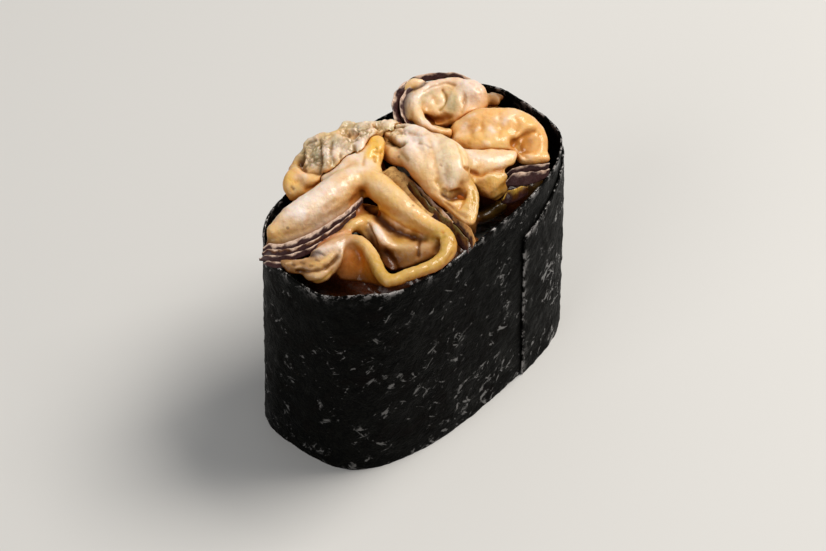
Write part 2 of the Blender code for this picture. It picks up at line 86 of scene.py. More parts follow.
# Each mussel is made of the parts below, in millimetres.
# - A lobe is a round strand: its rows are its centre's x, y and z, and its radius.
# - A leaf is a thick skin between two edges: half its thickness, how far it swells towards the
#   slant, and its rows, each with a point of one edge and a point of the other.
# - A pillow is a soft lump: its centre and its three half sizes.
# - Tints run from a part's first row to its last. A leaf's second list is for its other edge.
# - A stroke is drawn on the finished surface as seen along SLANT: its tint and how strong that is,
#   how deep it presses in (or, below 0, how far it stands out), its width, and its x and y where it
#   would cross the height STROKE_HEIGHT.
# - The reach is half the width of the clefts that the skin is drawn over. The curd lists the x, y
#   and radius of the places where the surface is parted into small lumps.
# A frill is a thin strip. Its tints run from its root to its free edge, and its rows each hold a
# point of one and a point of the other. Its ruffle is how far its waves stand out, and its wave is
# how long they are.
# Painted light in these tables: the umber, moss and khaki pillows, and the umber and moss lobes that
# lie low, are dark fillers of painted shade in the gaps. Strokes of umber, rust, amber, khaki and
# olive paint shade into creases, gaps and undersides, and the pale strokes that stand out, of pearl,
# milk and cream, paint highlights.
MUSSELS = {
  "mussel_front": {
    "slot": "mussel_flesh",
    "reach": 0.4,
    "curd": [],
    "lobes": [
      ("straw cream pearl pearl pearl cream cream", [
       (-19.4, 7.8, 34.2, 1.15), (-18.3, 7.4, 34.4, 1.65), (-16.6, 7, 34.6, 2.1),
       (-14.5, 6.6, 34.8, 2.3), (-12, 6.1, 35, 2.45), (-9.5, 5.8, 35.2, 2.5),
       (-7.1, 5.6, 35.5, 2.35), (-5.2, 5.2, 35.7, 1.9),
      ]),
      ("cream cream straw", [
       (-5.9, 7.6, 35, 1.3), (-4.3, 6.8, 35.5, 1.5), (-3.3, 5.6, 35.9, 1.4),
       (-3.3, 4.1, 35.8, 1.2),
      ]),
      ("cream pearl blush pearl cream", [
       (-7.9, 8.9, 34.9, 0.85), (-6.9, 8.2, 35.2, 0.95), (-5.5, 7.9, 35.6, 0.95),
       (-4.1, 7.8, 36, 1.15), (-2.7, 7.4, 36.2, 1), (-1.1, 7.5, 36.3, 0.95),
      ]),
      ("yolk yolk", [(-3.2, 5.8, 36.2, 0.85), (-2, 6.4, 36.5, 1), (-0.8, 6.8, 36.6, 0.9)]),
      ("straw yolk", [(-1.8, 5, 36.1, 0.7), (-0.7, 5.6, 36.4, 0.8)]),
      ("yolk straw", [(-0.1, 6.1, 36.7, 0.8), (1, 6.9, 36.7, 0.8)]),
      ("yolk yolk straw", [
       (-0.1, 7.6, 36.5, 0.65), (0.8, 7.9, 36.6, 0.75), (1.5, 7.5, 36.6, 0.65),
      ]),
      ("cream straw straw straw honey honey honey honey", [
       (-4.9, 4.7, 35.8, 1.7), (-4.8, 2.9, 35.8, 1.9), (-4.9, 0.7, 35.6, 1.95),
       (-5.1, -1.6, 35.4, 1.82), (-5.2, -3.8, 35.1, 1.58), (-5, -5.9, 34.8, 1.38),
       (-4.8, -7.7, 34.5, 1.28), (-4.8, -9.6, 34.3, 1.35), (-5.7, -11.4, 34.1, 1.35),
       (-7.2, -12.3, 33.9, 1.15), (-9.4, -12.3, 33.8, 0.98), (-11.5, -11.6, 33.8, 0.92),
       (-13.4, -10.8, 33.8, 0.9), (-15, -10.2, 33.7, 0.9),
      ]),
      ("honey honey straw tan tan lip", [
       (-15.8, -9.7, 33.7, 0.92), (-15.4, -8.2, 33.7, 0.95), (-14.4, -6.2, 33.8, 0.95),
       (-13.6, -4.6, 34, 0.92), (-13, -2.9, 34.1, 0.86), (-13.2, -1.5, 34.2, 0.78),
       (-14.1, -0.6, 34.2, 0.8), (-15.6, 0, 34.2, 0.85), (-17.2, 0.4, 34.1, 0.8),
       (-18.7, 1, 33.9, 0.65),
      ]),
      ("blush blush blush straw", [
       (-6.8, 0, 34.6, 0.4), (-6.9, -2.2, 34.3, 0.52), (-6.7, -4.4, 34.1, 0.62),
       (-6.1, -6.4, 33.9, 0.6), (-5.5, -8, 33.8, 0.5),
      ]),
      ("tan straw tan", [
       (-20.6, -0.1, 32, 0.85), (-20.1, -1.3, 32.3, 1), (-18.7, -1.7, 32.6, 0.85),
      ]),
      ("russet russet blush russet", [
       (-16.9, 1.8, 33.7, 0.42), (-15.4, 1.3, 33.9, 0.5), (-13.9, 0.7, 34, 0.55),
       (-12.6, 0.2, 33.9, 0.42),
      ]),
      ("olive straw olive", [
       (-12, 0.9, 33.8, 0.75), (-10.5, 0.6, 33.8, 0.95), (-8.7, 0.6, 33.4, 0.8),
      ]),
      ("straw pearl pearl straw", [
       (-8.3, 0.1, 33.4, 0.6), (-9.4, -1.7, 33.4, 0.85), (-10.1, -3.3, 33.2, 0.95),
       (-10.3, -5, 32.9, 0.8),
      ]),
      ("olive khaki", [(-10.3, -0.5, 32.8, 0.6), (-10.8, -2.3, 32.4, 0.6)]),
      # A dark filler of painted shade in the gap below the corner of the limb.
      ("umber umber", [(-4.9, -11, 30.6, 1.1), (-2.5, -11.3, 30.6, 1.2), (-0.5, -11.2, 30.6, 1.1)]),
    ],
    "leaves": [
      ("pearl cream tan / tan khaki khaki", 0.35, 0.7, [
       (-14.3, -0.9, 34, -16.7, -2.1, 33.2), (-15.6, -0.3, 34, -18.2, -2.4, 32.6),
       (-17.3, 0.4, 33.8, -20, -2.3, 32), (-18.9, 1.1, 33.5, -21.1, -1.2, 31.7),
       (-20.2, 1.6, 33.1, -21.5, 0.2, 31.7),
      ]),
      ("khaki tan tan / umber khaki khaki", 0.32, 0.3, [
       (-22.2, 4.4, 33.2, -22.9, 3, 32.4), (-21.2, 3, 33.3, -22.1, 1.7, 32.1),
       (-19.8, 1.7, 33.5, -21, 0.7, 32.2), (-18.1, 0.7, 33.5, -19.3, -0.2, 32.6),
      ]),
      ("umber khaki khaki / umber umber russet russet", 0.4, 0, [
       (-20.9, 8, 33.4, -22.6, 6.4, 32.6), (-19.5, 6.3, 33.5, -21.4, 4.2, 32.5),
       (-17.2, 5.4, 33.7, -19.4, 2.9, 32.6), (-14.3, 4.6, 33.9, -16.7, 2, 32.9),
       (-11.4, 3.8, 34.1, -14.2, 1.2, 33.2), (-8.5, 3.7, 34.3, -11.3, 1.1, 33.2),
       (-6.1, 3.7, 34.3, -8.6, 1.4, 33),
      ]),
      ("khaki umber umber tan tan tan / olive khaki umber umber khaki tan", 0.4, 0, [
       (-7.4, 2.3, 33.3, -11, -1, 32.3), (-7.5, 0, 33.3, -11, -2.9, 31.8),
       (-7.9, -2.4, 33.2, -12.5, -6.4, 31.2), (-7.8, -4.9, 33, -11.2, -8, 31.3),
       (-6.8, -7, 33, -9.3, -9.2, 31.8), (-5.6, -8.9, 33.1, -7.4, -10.5, 32.6),
      ]),
      ("honey honey tan tan / khaki khaki tan", 0.5, 0.5, [
       (-9.5, -3.3, 32.7, -10.5, -4.6, 31.6), (-8.8, -5.2, 32.8, -10.1, -6.5, 31.6),
       (-7.8, -6.6, 32.9, -9, -8.1, 31.7), (-6.7, -8.2, 33.1, -7.8, -9.4, 32.3),
       (-6, -9.3, 33.2, -6.8, -10, 32.8),
      ]),
      # The curtain in the hollow under the arch: its amber is a painted glow and its umber painted
      # shade.
      ("umber amber rust amber umber / umber umber umber umber umber", 0.4, 0, [
       (-16.3, -1.3, 32.8, -18, -2.4, 30.8), (-14.3, -1.4, 33.2, -17.1, -3.7, 30.6),
       (-12.9, -2.3, 33.2, -16.1, -5.2, 30.6), (-13.9, -4.9, 33, -15.8, -7, 31.2),
       (-15.3, -7.8, 32.9, -15.7, -9.1, 32),
      ]),
    ],
    "pillows": [
      ("tan", (-13, 7.4, 28.8), (7.4, 2.6, 4.4)),
      ("tan", (-5.8, -2.6, 28.9), (2, 9.2, 4.4)),
      ("umber", (-9.2, -4.2, 27.4), (5.2, 7.6, 2.8)),
      ("umber", (-16.4, -1.8, 26.6), (5, 7, 2.2)),
    ],
    "strokes": [
      ("rust", 0.75, 0.3, 0.75, [(-6.8, 3.2), (-8, 2.8), (-9.3, 2.5)]),
      ("rust", 0.45, 0.1, 0.8, [(-7.5, 1.1), (-7.9, -1.1), (-7.8, -3.4)]),
      ("umber", 0.9, 0.3, 0.38, [(-7.1, 2.8), (-7.7, 1.9), (-8.1, 0.6)]),
      ("umber", 1, 0.4, 0.52, [
       (-8.8, -1.1), (-9.3, -2.5), (-9.7, -4.5), (-9.5, -6.5), (-8.9, -8.1),
      ]),
      ("umber", 0.8, 0.2, 0.4, [(-9, -8.1), (-8.2, -9.5)]),
      ("umber", 0.95, 0.3, 0.8, [(-13.5, -7.3), (-14.5, -9), (-15.3, -10.4)]),
      ("khaki", 0.7, 0.2, 0.5, [(-12.1, -2.6), (-13.2, -4.3)]),
      ("russet", 0.5, 0.15, 0.24, [(-8.3, -1.5), (-8.4, -4), (-8.3, -6.5), (-7.8, -8.6)]),
      ("umber", 0.8, 0.25, 0.28, [(-8.8, -9.1), (-9.8, -9.8), (-11.1, -10.9)]),
      ("pearl", 0.7, -0.1, 0.6, [(-11.4, -3.7), (-12.3, -5.5)]),
      ("cream", 0.35, -0.05, 0.8, [(-11.8, -7.3), (-10.8, -9.2)]),
      ("cream", 0.35, 0, 0.6, [(-9.6, -10.6), (-8.8, -11.2)]),
      ("yolk", 0.6, 0.05, 0.6, [(-7.3, 1.9), (-7.8, -0.3), (-8, -2.6), (-8, -5), (-7.8, -7.5)]),
      ("cream", 0.45, -0.05, 0.7, [(-3.7, 3.3), (-3.9, 0.8), (-4.5, -2.1), (-4.9, -5)]),
      ("umber", 0.85, 0.3, 0.3, [
       (-24.2, -0.9), (-23.3, -2), (-22, -2.9), (-20.4, -3.3), (-18.7, -3.1),
      ]),
      ("plum", 0.9, 0.25, 0.4, [(-22, 1.4), (-21.3, 0.3), (-20.1, -0.5)]),
      ("straw", 0.5, -0.08, 0.4, [(-21.9, -1.5), (-20.5, -2.2), (-18.8, -2.3)]),
      ("umber", 0.95, 0.9, 0.42, [(-7.6, -11.2), (-8.6, -12.2)]),
      ("khaki", 0.6, 0.2, 0.35, [(-13.6, -7.4), (-14.2, -9.3), (-14.9, -10.5)]),
      ("khaki", 0.55, 0.2, 0.25, [(-11, -1.8), (-12.1, -3.6), (-13.2, -5.4)]),
      ("olive", 0.6, 0.1, 0.3, [(-7.9, -9.3), (-7.1, -10.7), (-6, -11.2)]),
      ("amber", 0.6, 0, 0.7, [(-16, -4.9), (-16.9, -6), (-18, -6.7)]),
      ("pearl", 0.6, -0.1, 0.45, [(-19.6, -0.7), (-18.1, -1.1), (-16.4, -1.9)]),
      ("khaki", 0.45, 0.12, 0.3, [(-21.2, -3.3), (-19.5, -3.2), (-17.6, -2.6)]),
      ("olive", 0.6, 0.1, 0.2, [(-24.5, -3.5), (-23.4, -4.4), (-21.3, -4.4)]),
      ("plum", 0.75, 0.1, 0.2, [(-21.1, 0.4), (-19.9, -0.1), (-19.5, -1.5)]),
      ("straw", 0.5, -0.1, 0.7, [(-21, 6.8), (-20.9, 5.6)]),
      ("tan", 0.35, 0.08, 0.5, [(-18.5, 6.8), (-17.6, 6.3)]),
      ("straw", 0.5, 0, 0.8, [(-12, 3.7), (-10.2, 3.6), (-8.4, 4)]),
      ("tan", 0.4, 0.14, 0.4, [(-12.5, 4.3), (-11.3, 4.3)]),
      ("pearl", 0.6, -0.1, 0.6, [(-6.4, 8.4), (-5.1, 8.4)]),
      ("blush", 0.4, 0, 0.7, [(-7.9, 7.4), (-6.7, 7.3)]),
      ("straw", 0.6, 0, 0.8, [(-4.9, 5), (-4, 4.3), (-4, 3.2)]),
      ("russet", 0.5, 0.07, 0.14, [(-3.2, -0.9), (-3.2, -1)]),
      ("russet", 0.5, 0.07, 0.14, [(-5.6, -10.4), (-5.6, -10.6)]),
      ("tan", 0.5, 0.08, 0.16, [(-5.8, -12), (-6.1, -12.9)]),
      ("tan", 0.5, 0.1, 0.3, [(-7.7, -14), (-9.3, -14.5)]),
      ("rust", 0.5, 0.2, 0.2, [(-1.6, 5.5), (-1.1, 6.1)]),
      ("rust", 0.5, 0.2, 0.2, [(-0.2, 6.7), (0.2, 6)]),
      ("umber", 0.6, 0.1, 0.13, [(0.5, 7.2), (0.4, 6.9)]),
      ("rust", 0.4, 0.12, 0.25, [(0.5, 6.1), (-1, 5)]),
      ("rust", 0.35, 0.1, 0.25, [(-2, 7.1), (-3.2, 6.2)]),
      ("plum", 0.6, 0.08, 0.2, [(-23.7, 0.5), (-23.6, 0.2)]),
      ("plum", 0.6, 0.08, 0.18, [(-22.6, -0.1), (-22.5, -0.5)]),
      ("plum", 0.6, 0.08, 0.18, [(-22.3, -1.4), (-22.1, -1.7)]),
      ("plum", 0.6, 0.08, 0.18, [(-20.9, -1.3), (-20.8, -1.7)]),
      ("cream", 0.5, -0.08, 0.22, [(-23.8, -0.3), (-23.4, -0.5)]),
      ("cream", 0.5, -0.08, 0.2, [(-24.1, 1.2), (-23.6, 0.9)]),
    ],
  },
  "mussel_middle": {
    "slot": "mussel_flesh",
    "reach": 0.4,
    "curd": [(3.8, 7.3, 2.0)],
    "lobes": [
      ("cream pearl cream cream straw straw", [
       (3.3, 7.4, 35.4, 1), (2.9, 5.3, 35.8, 1.45), (2.6, 3, 36, 1.7), (1.8, 0.6, 36, 1.75),
       (1.1, -1.8, 35.7, 1.6), (0.5, -3.8, 35.2, 1.35), (0.3, -5.9, 34.7, 1.12),
       (0.1, -7.9, 34.2, 0.95), (-0.2, -10.2, 33.7, 0.7),
      ]),
      ("cream pearl pearl cream", [
       (4.7, 8.3, 35.4, 1.15), (5.3, 6.5, 35.8, 1.45), (5.6, 4.4, 36.1, 1.65),
       (5.1, 1.9, 36.3, 1.8), (4, -0.6, 36.3, 1.85), (2.6, -2.7, 36.2, 1.65),
      ]),
      ("cream milk milk cream", [
       (6.9, 1.9, 35.9, 1.3), (6.2, -0.5, 36.3, 1.9), (4.9, -3, 36.6, 2.2),
       (3.4, -4.8, 36.4, 1.85), (2.3, -5.3, 36, 1.2),
      ]),
      ("straw cream cream", [
       (1.3, 6.4, 35.2, 0.95), (1.3, 4.9, 35.3, 1.15), (1.7, 3.5, 35.5, 1.2),
      ]),
      ("honey straw honey", [(6.7, -4.6, 34, 0.7), (6.7, -6.2, 34.3, 1.05), (7.8, -7, 34.5, 0.95)]),
      ("straw honey", [(7.6, -8, 33.8, 0.95), (9.2, -8.1, 34.1, 0.85)]),
      ("honey tan", [(6.1, -6.9, 33.3, 0.85), (6.4, -7.8, 33.1, 0.9)]),
      ("olive khaki", [(7.1, -8.5, 32.4, 0.9), (8.8, -8.5, 32.3, 0.8)]),
      # A dark filler of painted shade in the gap by the band's right wall.
      ("moss moss", [(5.3, -7.9, 29.2, 1), (8.4, -8.5, 29.2, 1)]),
    ],
    "leaves": [
      ("straw cream cream straw / cream cream cream straw", 0.8, 0.3, [
       (6.9, -0.5, 35.7, 4.8, -3.2, 35.5), (8.3, -2, 35.5, 6.3, -4.5, 35.2),
       (9.9, -3.6, 35.3, 7.6, -5.8, 35), (11.7, -5.1, 35, 9.4, -6.9, 34.7),
       (13.8, -6.9, 34.4, 11.8, -7.5, 34.1),
      ]),
      ("honey honey honey straw / tan apricot honey straw", 0.45, 0.35, [
       (4.9, -5.2, 35.4, 3.4, -5, 35.4), (4.7, -7, 35, 2.5, -6.2, 34.9),
       (3.7, -8.6, 34.6, 1.2, -7.3, 34.5), (2.5, -9.7, 34.2, 0.2, -8.4, 34.2),
       (1.1, -10.6, 33.8, -0.1, -9.5, 33.7), (-0.1, -10.9, 33.4, -0.3, -10.5, 33.4),
      ]),
    ],
    "pillows": [
      ("tan", (12.4, -2, 31), (3.2, 2.6, 2.8)),
      ("khaki", (1.8, -2.4, 29.4), (3.4, 7, 4.2)),
      ("umber", (-1.6, -0.4, 28.4), (2, 8.6, 3.6)),
    ],
    "strokes": [
      ("moss", 0.95, 1, 0.6, [(2.9, 7.3), (2.7, 6.3), (2.8, 5.4), (3.5, 5.2)]),
      ("cream", 0.6, -0.3, 0.5, [(3.6, 8.2), (3.5, 6.8), (4.5, 5.9)]),
      ("moss", 0.55, 0.35, 0.3, [(3.5, 10.2), (4.2, 9.5), (4.9, 8.2), (6, 7.3)]),
      ("tan", 0.35, 0.14, 0.26, [(5, 3.4), (5.3, 2.5), (5.4, 1.8)]),
      ("apricot", 0.35, 0.16, 0.4, [(6.5, 3), (5, 0.8), (3.2, -1.3), (1.7, -3.1)]),
      ("cream", 0.5, -0.14, 0.45, [(5.5, 3.2), (3.9, 1), (2.1, -1.2)]),
      ("straw", 0.5, 0.1, 0.6, [(0.9, -0.8), (-0.1, -3), (-0.3, -4.2)]),
      ("umber", 0.9, 0.8, 0.5, [(-0.1, -5.5), (0, -6.5), (0.6, -7.1), (1.4, -7.5)]),
      ("olive", 0.6, 0.35, 0.4, [(1.1, -3.5), (0.5, -4.9), (0.6, -5.9), (1.6, -6.7)]),
      ("rust", 0.6, 0.2, 0.4, [(3, -6.2), (2.1, -7.6), (0.6, -8.6), (-0.7, -9)]),
      ("olive", 0.3, 0.1, 0.3, [(2.9, -8.1), (1.7, -9.5), (0.2, -10.6)]),
      ("tan", 0.6, 0.2, 0.3, [(-1.1, -7.1), (-1.4, -9), (-1.4, -10.7)]),
      ("milk", 0.9, -0.1, 0.9, [(4.3, -2.8), (3.4, -4.1)]),
      ("pearl", 0.5, -0.12, 0.5, [(3.7, 4.4), (3.7, 2.9)]),
      ("khaki", 0.5, 0.1, 0.16, [(3.8, -1.5), (3.8, -1.8)]),
      ("sage", 0.5, 0.12, 0.4, [(1.8, 3.8), (1.4, 2.3)]),
      ("tan", 0.3, 0.15, 0.3, [(5.6, 5.8), (6.2, 4.4), (7.2, 3.9)]),
      ("straw", 0.45, 0.18, 0.3, [(8.4, -0.6), (7.2, -2.4), (5.7, -4.2)]),
      ("apricot", 0.4, 0.12, 0.4, [(1.2, -4.2), (1.1, -5.2)]),
      ("rust", 0.7, 0.4, 0.36, [
       (5.7, -4.5), (5.7, -5.9), (6.1, -6.9), (7, -7.1), (8.1, -7.8), (9.1, -8.7),
      ]),
      ("khaki", 0.5, 0.2, 0.3, [(3, -10.6), (3.7, -11.5), (5.1, -11.7)]),
      ("straw", 0.4, 0.12, 0.4, [(7.9, -1.7), (6.9, -3.4), (5.6, -4.4)]),
      ("pearl", 0.6, -0.1, 0.6, [(8.1, -4.3), (9.3, -5.8)]),
    ],
  },
  "mussel_right": {
    "slot": "mussel_orange",
    "reach": 0.4,
    "curd": [],
    "lobes": [
      ("apricot apricot apricot", [
       (11.9, 1.6, 34.2, 1.9), (13.6, 0.5, 34.6, 2.6), (15.1, -1.2, 34.8, 2.75),
       (16.7, -3, 34.7, 2.75), (17.6, -5, 34.3, 2.5), (17.4, -7, 33.8, 1.8),
       (16.5, -8.4, 33.5, 1.2),
      ]),
      ("apricot straw apricot", [
       (9.9, 0, 34.3, 1.7), (11.2, -2.1, 34.5, 2.3), (13, -3.9, 34.5, 2.3), (15, -5.1, 34.2, 2.1),
      ]),
      ("straw apricot apricot", [
       (14.1, -7.6, 34, 1), (15.4, -8.9, 33.7, 1.05), (16.3, -9.6, 33.5, 0.8),
      ]),
    ],
    "leaves": [],
    "pillows": [
      ("tan", (13.6, -2.2, 31.6), (4, 3.4, 3.4)),
      ("moss", (14.8, -7, 28.4), (2.8, 3, 1.6)),
      ("umber", (12.2, -4, 27.4), (6.6, 6, 3.4)),
      ("umber", (18.6, -0.4, 28.2), (3.4, 3.4, 2.6)),
      ("umber", (20.6, 3.2, 29), (2, 2.8, 2.4)),
    ],
    "strokes": [
      ("straw", 0.55, 0, 1.1, [(8.5, -0.8), (9.6, -2.6), (11.1, -4.3), (12.1, -5.6)]),
      ("cream", 0.6, 0, 0.9, [(7.6, -1.8), (9, -3.6), (10.5, -5.3), (11.6, -6.4)]),
      ("rust", 0.95, 0.5, 0.95, [(14.4, -6.4), (15.2, -6.9), (14.1, -8)]),
      ("umber", 0.5, 0.12, 0.55, [(14.1, -5.8), (14.2, -6.7), (13.5, -7.9)]),
      ("rust", 0.75, 0.25, 0.42, [(13.5, -6.2), (15, -6.1), (16.5, -6.4), (17.4, -6.7)]),
      ("rust", 0.5, 0.2, 0.35, [(13.3, -6.4), (13, -8), (12.8, -9.2)]),
      ("apricot", 0.6, -0.2, 0.5, [(14.9, -5.5), (16.8, -5.4), (18.5, -5.9)]),
      ("straw", 0.5, -0.1, 0.6, [(17.8, -4.8), (18, -6.2)]),
      ("rust", 0.3, 0.14, 0.35, [(17.3, -7.7), (16.1, -8.8), (14.3, -9.5)]),
      ("pearl", 0.7, -0.12, 0.45, [(13.7, -2), (13.5, -2.6)]),
      ("pearl", 0.5, -0.1, 0.35, [(12.2, -0.7), (12.7, -0.6)]),
      ("pearl", 0.55, -0.1, 0.4, [(11.3, 0.9), (12.1, 1.1)]),
      ("pearl", 0.4, -0.1, 0.35, [(13.6, 1.8), (14.2, 1.6)]),
      ("pearl", 0.5, -0.1, 0.45, [(15.8, -2.5), (16.4, -2.3)]),
      ("pearl", 0.4, -0.1, 0.35, [(11.1, -3.2), (11.1, -3.7)]),
      ("blush", 0.6, -0.06, 0.5, [(7.7, -1.1), (8.1, -1.3)]),
      ("rust", 0.25, 0.1, 0.35, [(14.7, 0.3), (13.2, -0.8), (12, -2.4)]),
      ("rust", 0.2, 0.1, 0.4, [(12.1, 0.5), (10.9, -0.9), (9.6, -1.6)]),
      ("rust", 0.2, 0.08, 0.35, [(16.7, -0.9), (15, -2.8), (13, -4)]),
      ("rust", 0.25, 0.12, 0.35, [(17.6, -2.8), (17, -4.2), (15.9, -4.8)]),
    ],
  },
  "mussel_curled": {
    "slot": "mussel_flesh",
    "reach": 0.3,
    "curd": [],
    "lobes": [
      ("straw cream cream cream pearl pearl blush", [
       (10, 2.5, 34.8, 0.9), (9, 3.7, 35, 0.95), (8.6, 5.5, 35.3, 0.95), (9.1, 7.4, 35.7, 0.92),
       (10.4, 8.9, 36, 0.85), (12.1, 9.6, 36.2, 0.75), (13.9, 9.2, 36.4, 0.7),
       (15.7, 8.2, 36.4, 0.75),
      ]),
      ("straw straw straw", [
       (11.8, 11.9, 36.5, 0.5), (12.7, 11.6, 36.8, 0.65), (13.7, 10.8, 36.8, 0.5),
      ]),
      ("blush pearl blush", [
       (14.5, 9.9, 36.5, 0.5), (16, 8.7, 36.6, 0.55), (17.1, 7.1, 36.6, 0.8),
      ]),
      ("milk pearl cream", [(11.2, 8.1, 35.1, 0.35), (12.6, 8.5, 35.7, 0.5), (14.1, 8.3, 36, 0.4)]),
      ("pearl cream", [(13.9, 6.1, 35.3, 0.35), (15, 6.7, 35.8, 0.45), (16.5, 6.9, 36, 0.45)]),
      ("cream straw", [(14, 4.5, 35.2, 0.4), (14.9, 5, 35.6, 0.42), (15.7, 5.5, 35.8, 0.35)]),
      ("straw cream straw", [
       (11.1, 8.6, 34.9, 0.4), (10.9, 7.3, 34.8, 0.45), (11.7, 6.7, 34.9, 0.4),
       (12.7, 6.4, 35.1, 0.45), (13, 5.4, 35.1, 0.4),
      ]),
      ("apricot apricot apricot", [
       (11.4, 7.5, 33.8, 0.8), (11.6, 6.1, 33.8, 0.8), (12.5, 4.9, 33.8, 0.8),
      ]),
      ("blush pearl blush cream", [
       (17.2, 6.8, 35.8, 1.1), (17.4, 5.6, 36, 1.6), (17.4, 4, 35.8, 1.7), (17, 2.8, 35.3, 1.15),
      ]),
      ("straw blush cream", [(13, 4.1, 34.6, 0.9), (14.5, 3.5, 35, 1.15), (16, 2.5, 34.9, 1)]),
      ("tan khaki tan", [(18.1, 3.4, 34.6, 0.9), (19.4, 3.3, 34.2, 0.95), (20, 2.8, 33.6, 0.8)]),
      ("khaki umber", [(20.5, 3.8, 33.8, 0.6), (21.5, 3.1, 33.2, 0.55)]),
      ("plum plum", [(7.8, 8.8, 35, 0.6), (9.4, 10.4, 35.4, 0.7), (11.5, 11.2, 35.8, 0.7)]),
    ],
    "leaves": [
      ("pearl milk milk cream / milk cream milk cream", 0.4, 0.2, [
       (11.8, 9.9, 35.4, 11.2, 8.1, 34.7), (13.3, 9.7, 35.8, 11.7, 7.1, 34.8),
       (14.7, 9.1, 35.9, 12.5, 6.5, 34.9), (15.6, 8.2, 35.9, 13.5, 6.1, 34.9),
       (16.3, 7.4, 35.9, 14.1, 5.3, 34.9),
      ]),
      ("sage sage straw / sage cream straw", 0.25, 0.1, [
       (13.1, 5.1, 35, 13.6, 4.2, 35.1), (13.7, 5.8, 35.9, 14.5, 4.4, 36),
       (15, 6.4, 36.4, 15.6, 5, 36.4), (16, 6.6, 36.5, 16.4, 5.7, 36.4),
      ]),
    ],
    "pillows": [
      ("cream", (17.2, 5.4, 33), (2.1, 2.2, 2.2)),
      ("tan", (19.6, 5.6, 31), (1.9, 2, 2)),
      ("umber", (13.2, 7.2, 29.6), (6.2, 4.8, 3.4)),
    ],
    "strokes": [
      ("rust", 0.5, 0.25, 0.4, [(10.1, 6.2), (9.9, 5.1), (10.3, 4.2)]),
      ("tan", 0.5, 0.2, 0.3, [(10.1, 7.1), (9.4, 5.6), (9.2, 4), (9.8, 2.7)]),
      ("straw", 0.5, 0.1, 0.35, [(7.7, 4.7), (7.7, 3), (8.4, 1.5)]),
      ("olive", 0.7, 0.25, 0.2, [(15, 8), (14.3, 6.8), (13.1, 6), (11.9, 5.7)]),
      ("plum", 0.85, 0.2, 0.22, [(11.2, 11.6), (12.3, 11.2), (13.6, 10.8), (15, 10.8)]),
      ("sage", 0.5, 0.05, 0.5, [(10.9, 8.7), (12.3, 9), (13.6, 8.9)]),
      ("rust", 0.6, 0.4, 0.5, [(9.5, 6.2), (9.5, 5), (10.6, 4.3), (11.8, 3.8)]),
      ("sage", 0.6, 0.12, 0.4, [(15, 5.9), (13.4, 4.6)]),
      ("honey", 0.35, 0.1, 0.4, [(13.2, 7.9), (12.6, 7)]),
      ("tan", 0.35, 0.14, 0.3, [(16.3, 5.1), (15.1, 4), (13.6, 3.2)]),
      ("tan", 0.5, 0.2, 0.24, [(13.3, 9.9), (14.6, 9.7), (16.3, 8.7), (16.8, 7.5)]),
      ("blush", 0.4, 0.12, 0.3, [(18.6, 6.3), (18.5, 5), (17.8, 3.5)]),
      ("pearl", 0.6, -0.1, 0.4, [(16.9, 5.3), (15.8, 4.1)]),
    ],
  },
  "mussel_frilly": {
    "slot": "mussel_gill",
    "reach": 0.12,
    "curd": [
      (-5.8, 12.1, 2.9), (-3.4, 11.1, 2.6), (0, 10.8, 2.5), (2.8, 9.8, 2.2), (4.8, 8.2, 1.8),
    ],
    "lobes": [
      ("sage cream cream", [(-8.2, 13.3, 34, 1), (-7.7, 11.7, 34.3, 1.1), (-6.8, 10.4, 34.7, 1)]),
      ("sage sage sage cream cream cream", [
       (-6.4, 14.1, 33.3, 1.75), (-4.4, 13.8, 33.6, 2.15), (-2.5, 12.8, 33.9, 2.3),
       (-0.6, 11.5, 34.3, 2.35), (1.4, 10.3, 34.7, 2.15), (3.2, 9.2, 35.1, 1.65),
      ]),
      ("sage cream sage", [
       (-4.2, 14.8, 35.2, 0.6), (-5.6, 14.3, 35.2, 0.65), (-6.7, 13.3, 35.2, 0.6),
       (-7.3, 12, 35.1, 0.55),
      ]),
      ("cream pearl sage", [
       (-3.2, 13.3, 36.1, 0.7), (-4.7, 11.8, 36.5, 0.8), (-6, 10.4, 36.5, 0.82),
       (-7.1, 9.7, 36, 0.7),
      ]),
      ("sage sage", [(-4.2, 13.8, 35.7, 0.5), (-5.8, 12.4, 35.8, 0.5), (-6.9, 11.2, 35.6, 0.5)]),
      ("cream pearl cream cream", [
       (-5.2, 8.8, 36.2, 0.6), (-4.5, 10, 36.5, 0.62), (-3.2, 10.9, 36.7, 0.62),
       (-2.1, 10.9, 36.9, 0.62), (-1.9, 9.8, 36.9, 0.58), (-3.1, 8.8, 36.8, 0.55),
      ]),
      ("pearl cream", [(-3.1, 9.9, 36.6, 0.45), (-4.3, 8.7, 36.6, 0.5)]),
      ("cream pearl cream", [
       (-3.2, 7.2, 36.4, 0.7), (-1.8, 7.9, 36.9, 0.8), (-0.4, 8.9, 37.1, 0.8),
       (1.3, 9.4, 37.1, 0.8),
      ]),
      ("cream straw cream", [
       (-2.3, 13.3, 36.2, 0.6), (-1.4, 12.7, 36.4, 0.65), (-0.2, 12.1, 36.6, 0.65),
      ]),
      ("sage cream", [(0.6, 12.5, 36.5, 0.6), (1.3, 11.7, 36.6, 0.65)]),
      ("pearl pearl cream", [(2.1, 11.1, 36.7, 0.7), (2.6, 10.2, 36.8, 0.7)]),
      ("sage cream cream", [
       (3.5, 10, 36.6, 0.5), (4.3, 9.2, 36.6, 0.6), (5.4, 8.1, 36.4, 0.7), (5.9, 7.1, 36, 0.6),
      ]),
      ("sage sage", [(-4.9, 15.3, 35.3, 0.55), (-4.2, 15.1, 35.6, 0.6)]),
      ("cream sage", [(-3.5, 14.5, 36, 0.6), (-2.7, 14.2, 36.2, 0.55)]),
      ("sage cream", [(-3.3, 11.5, 36.7, 0.5), (-2.3, 11.9, 36.8, 0.55)]),
      ("cream sage cream", [
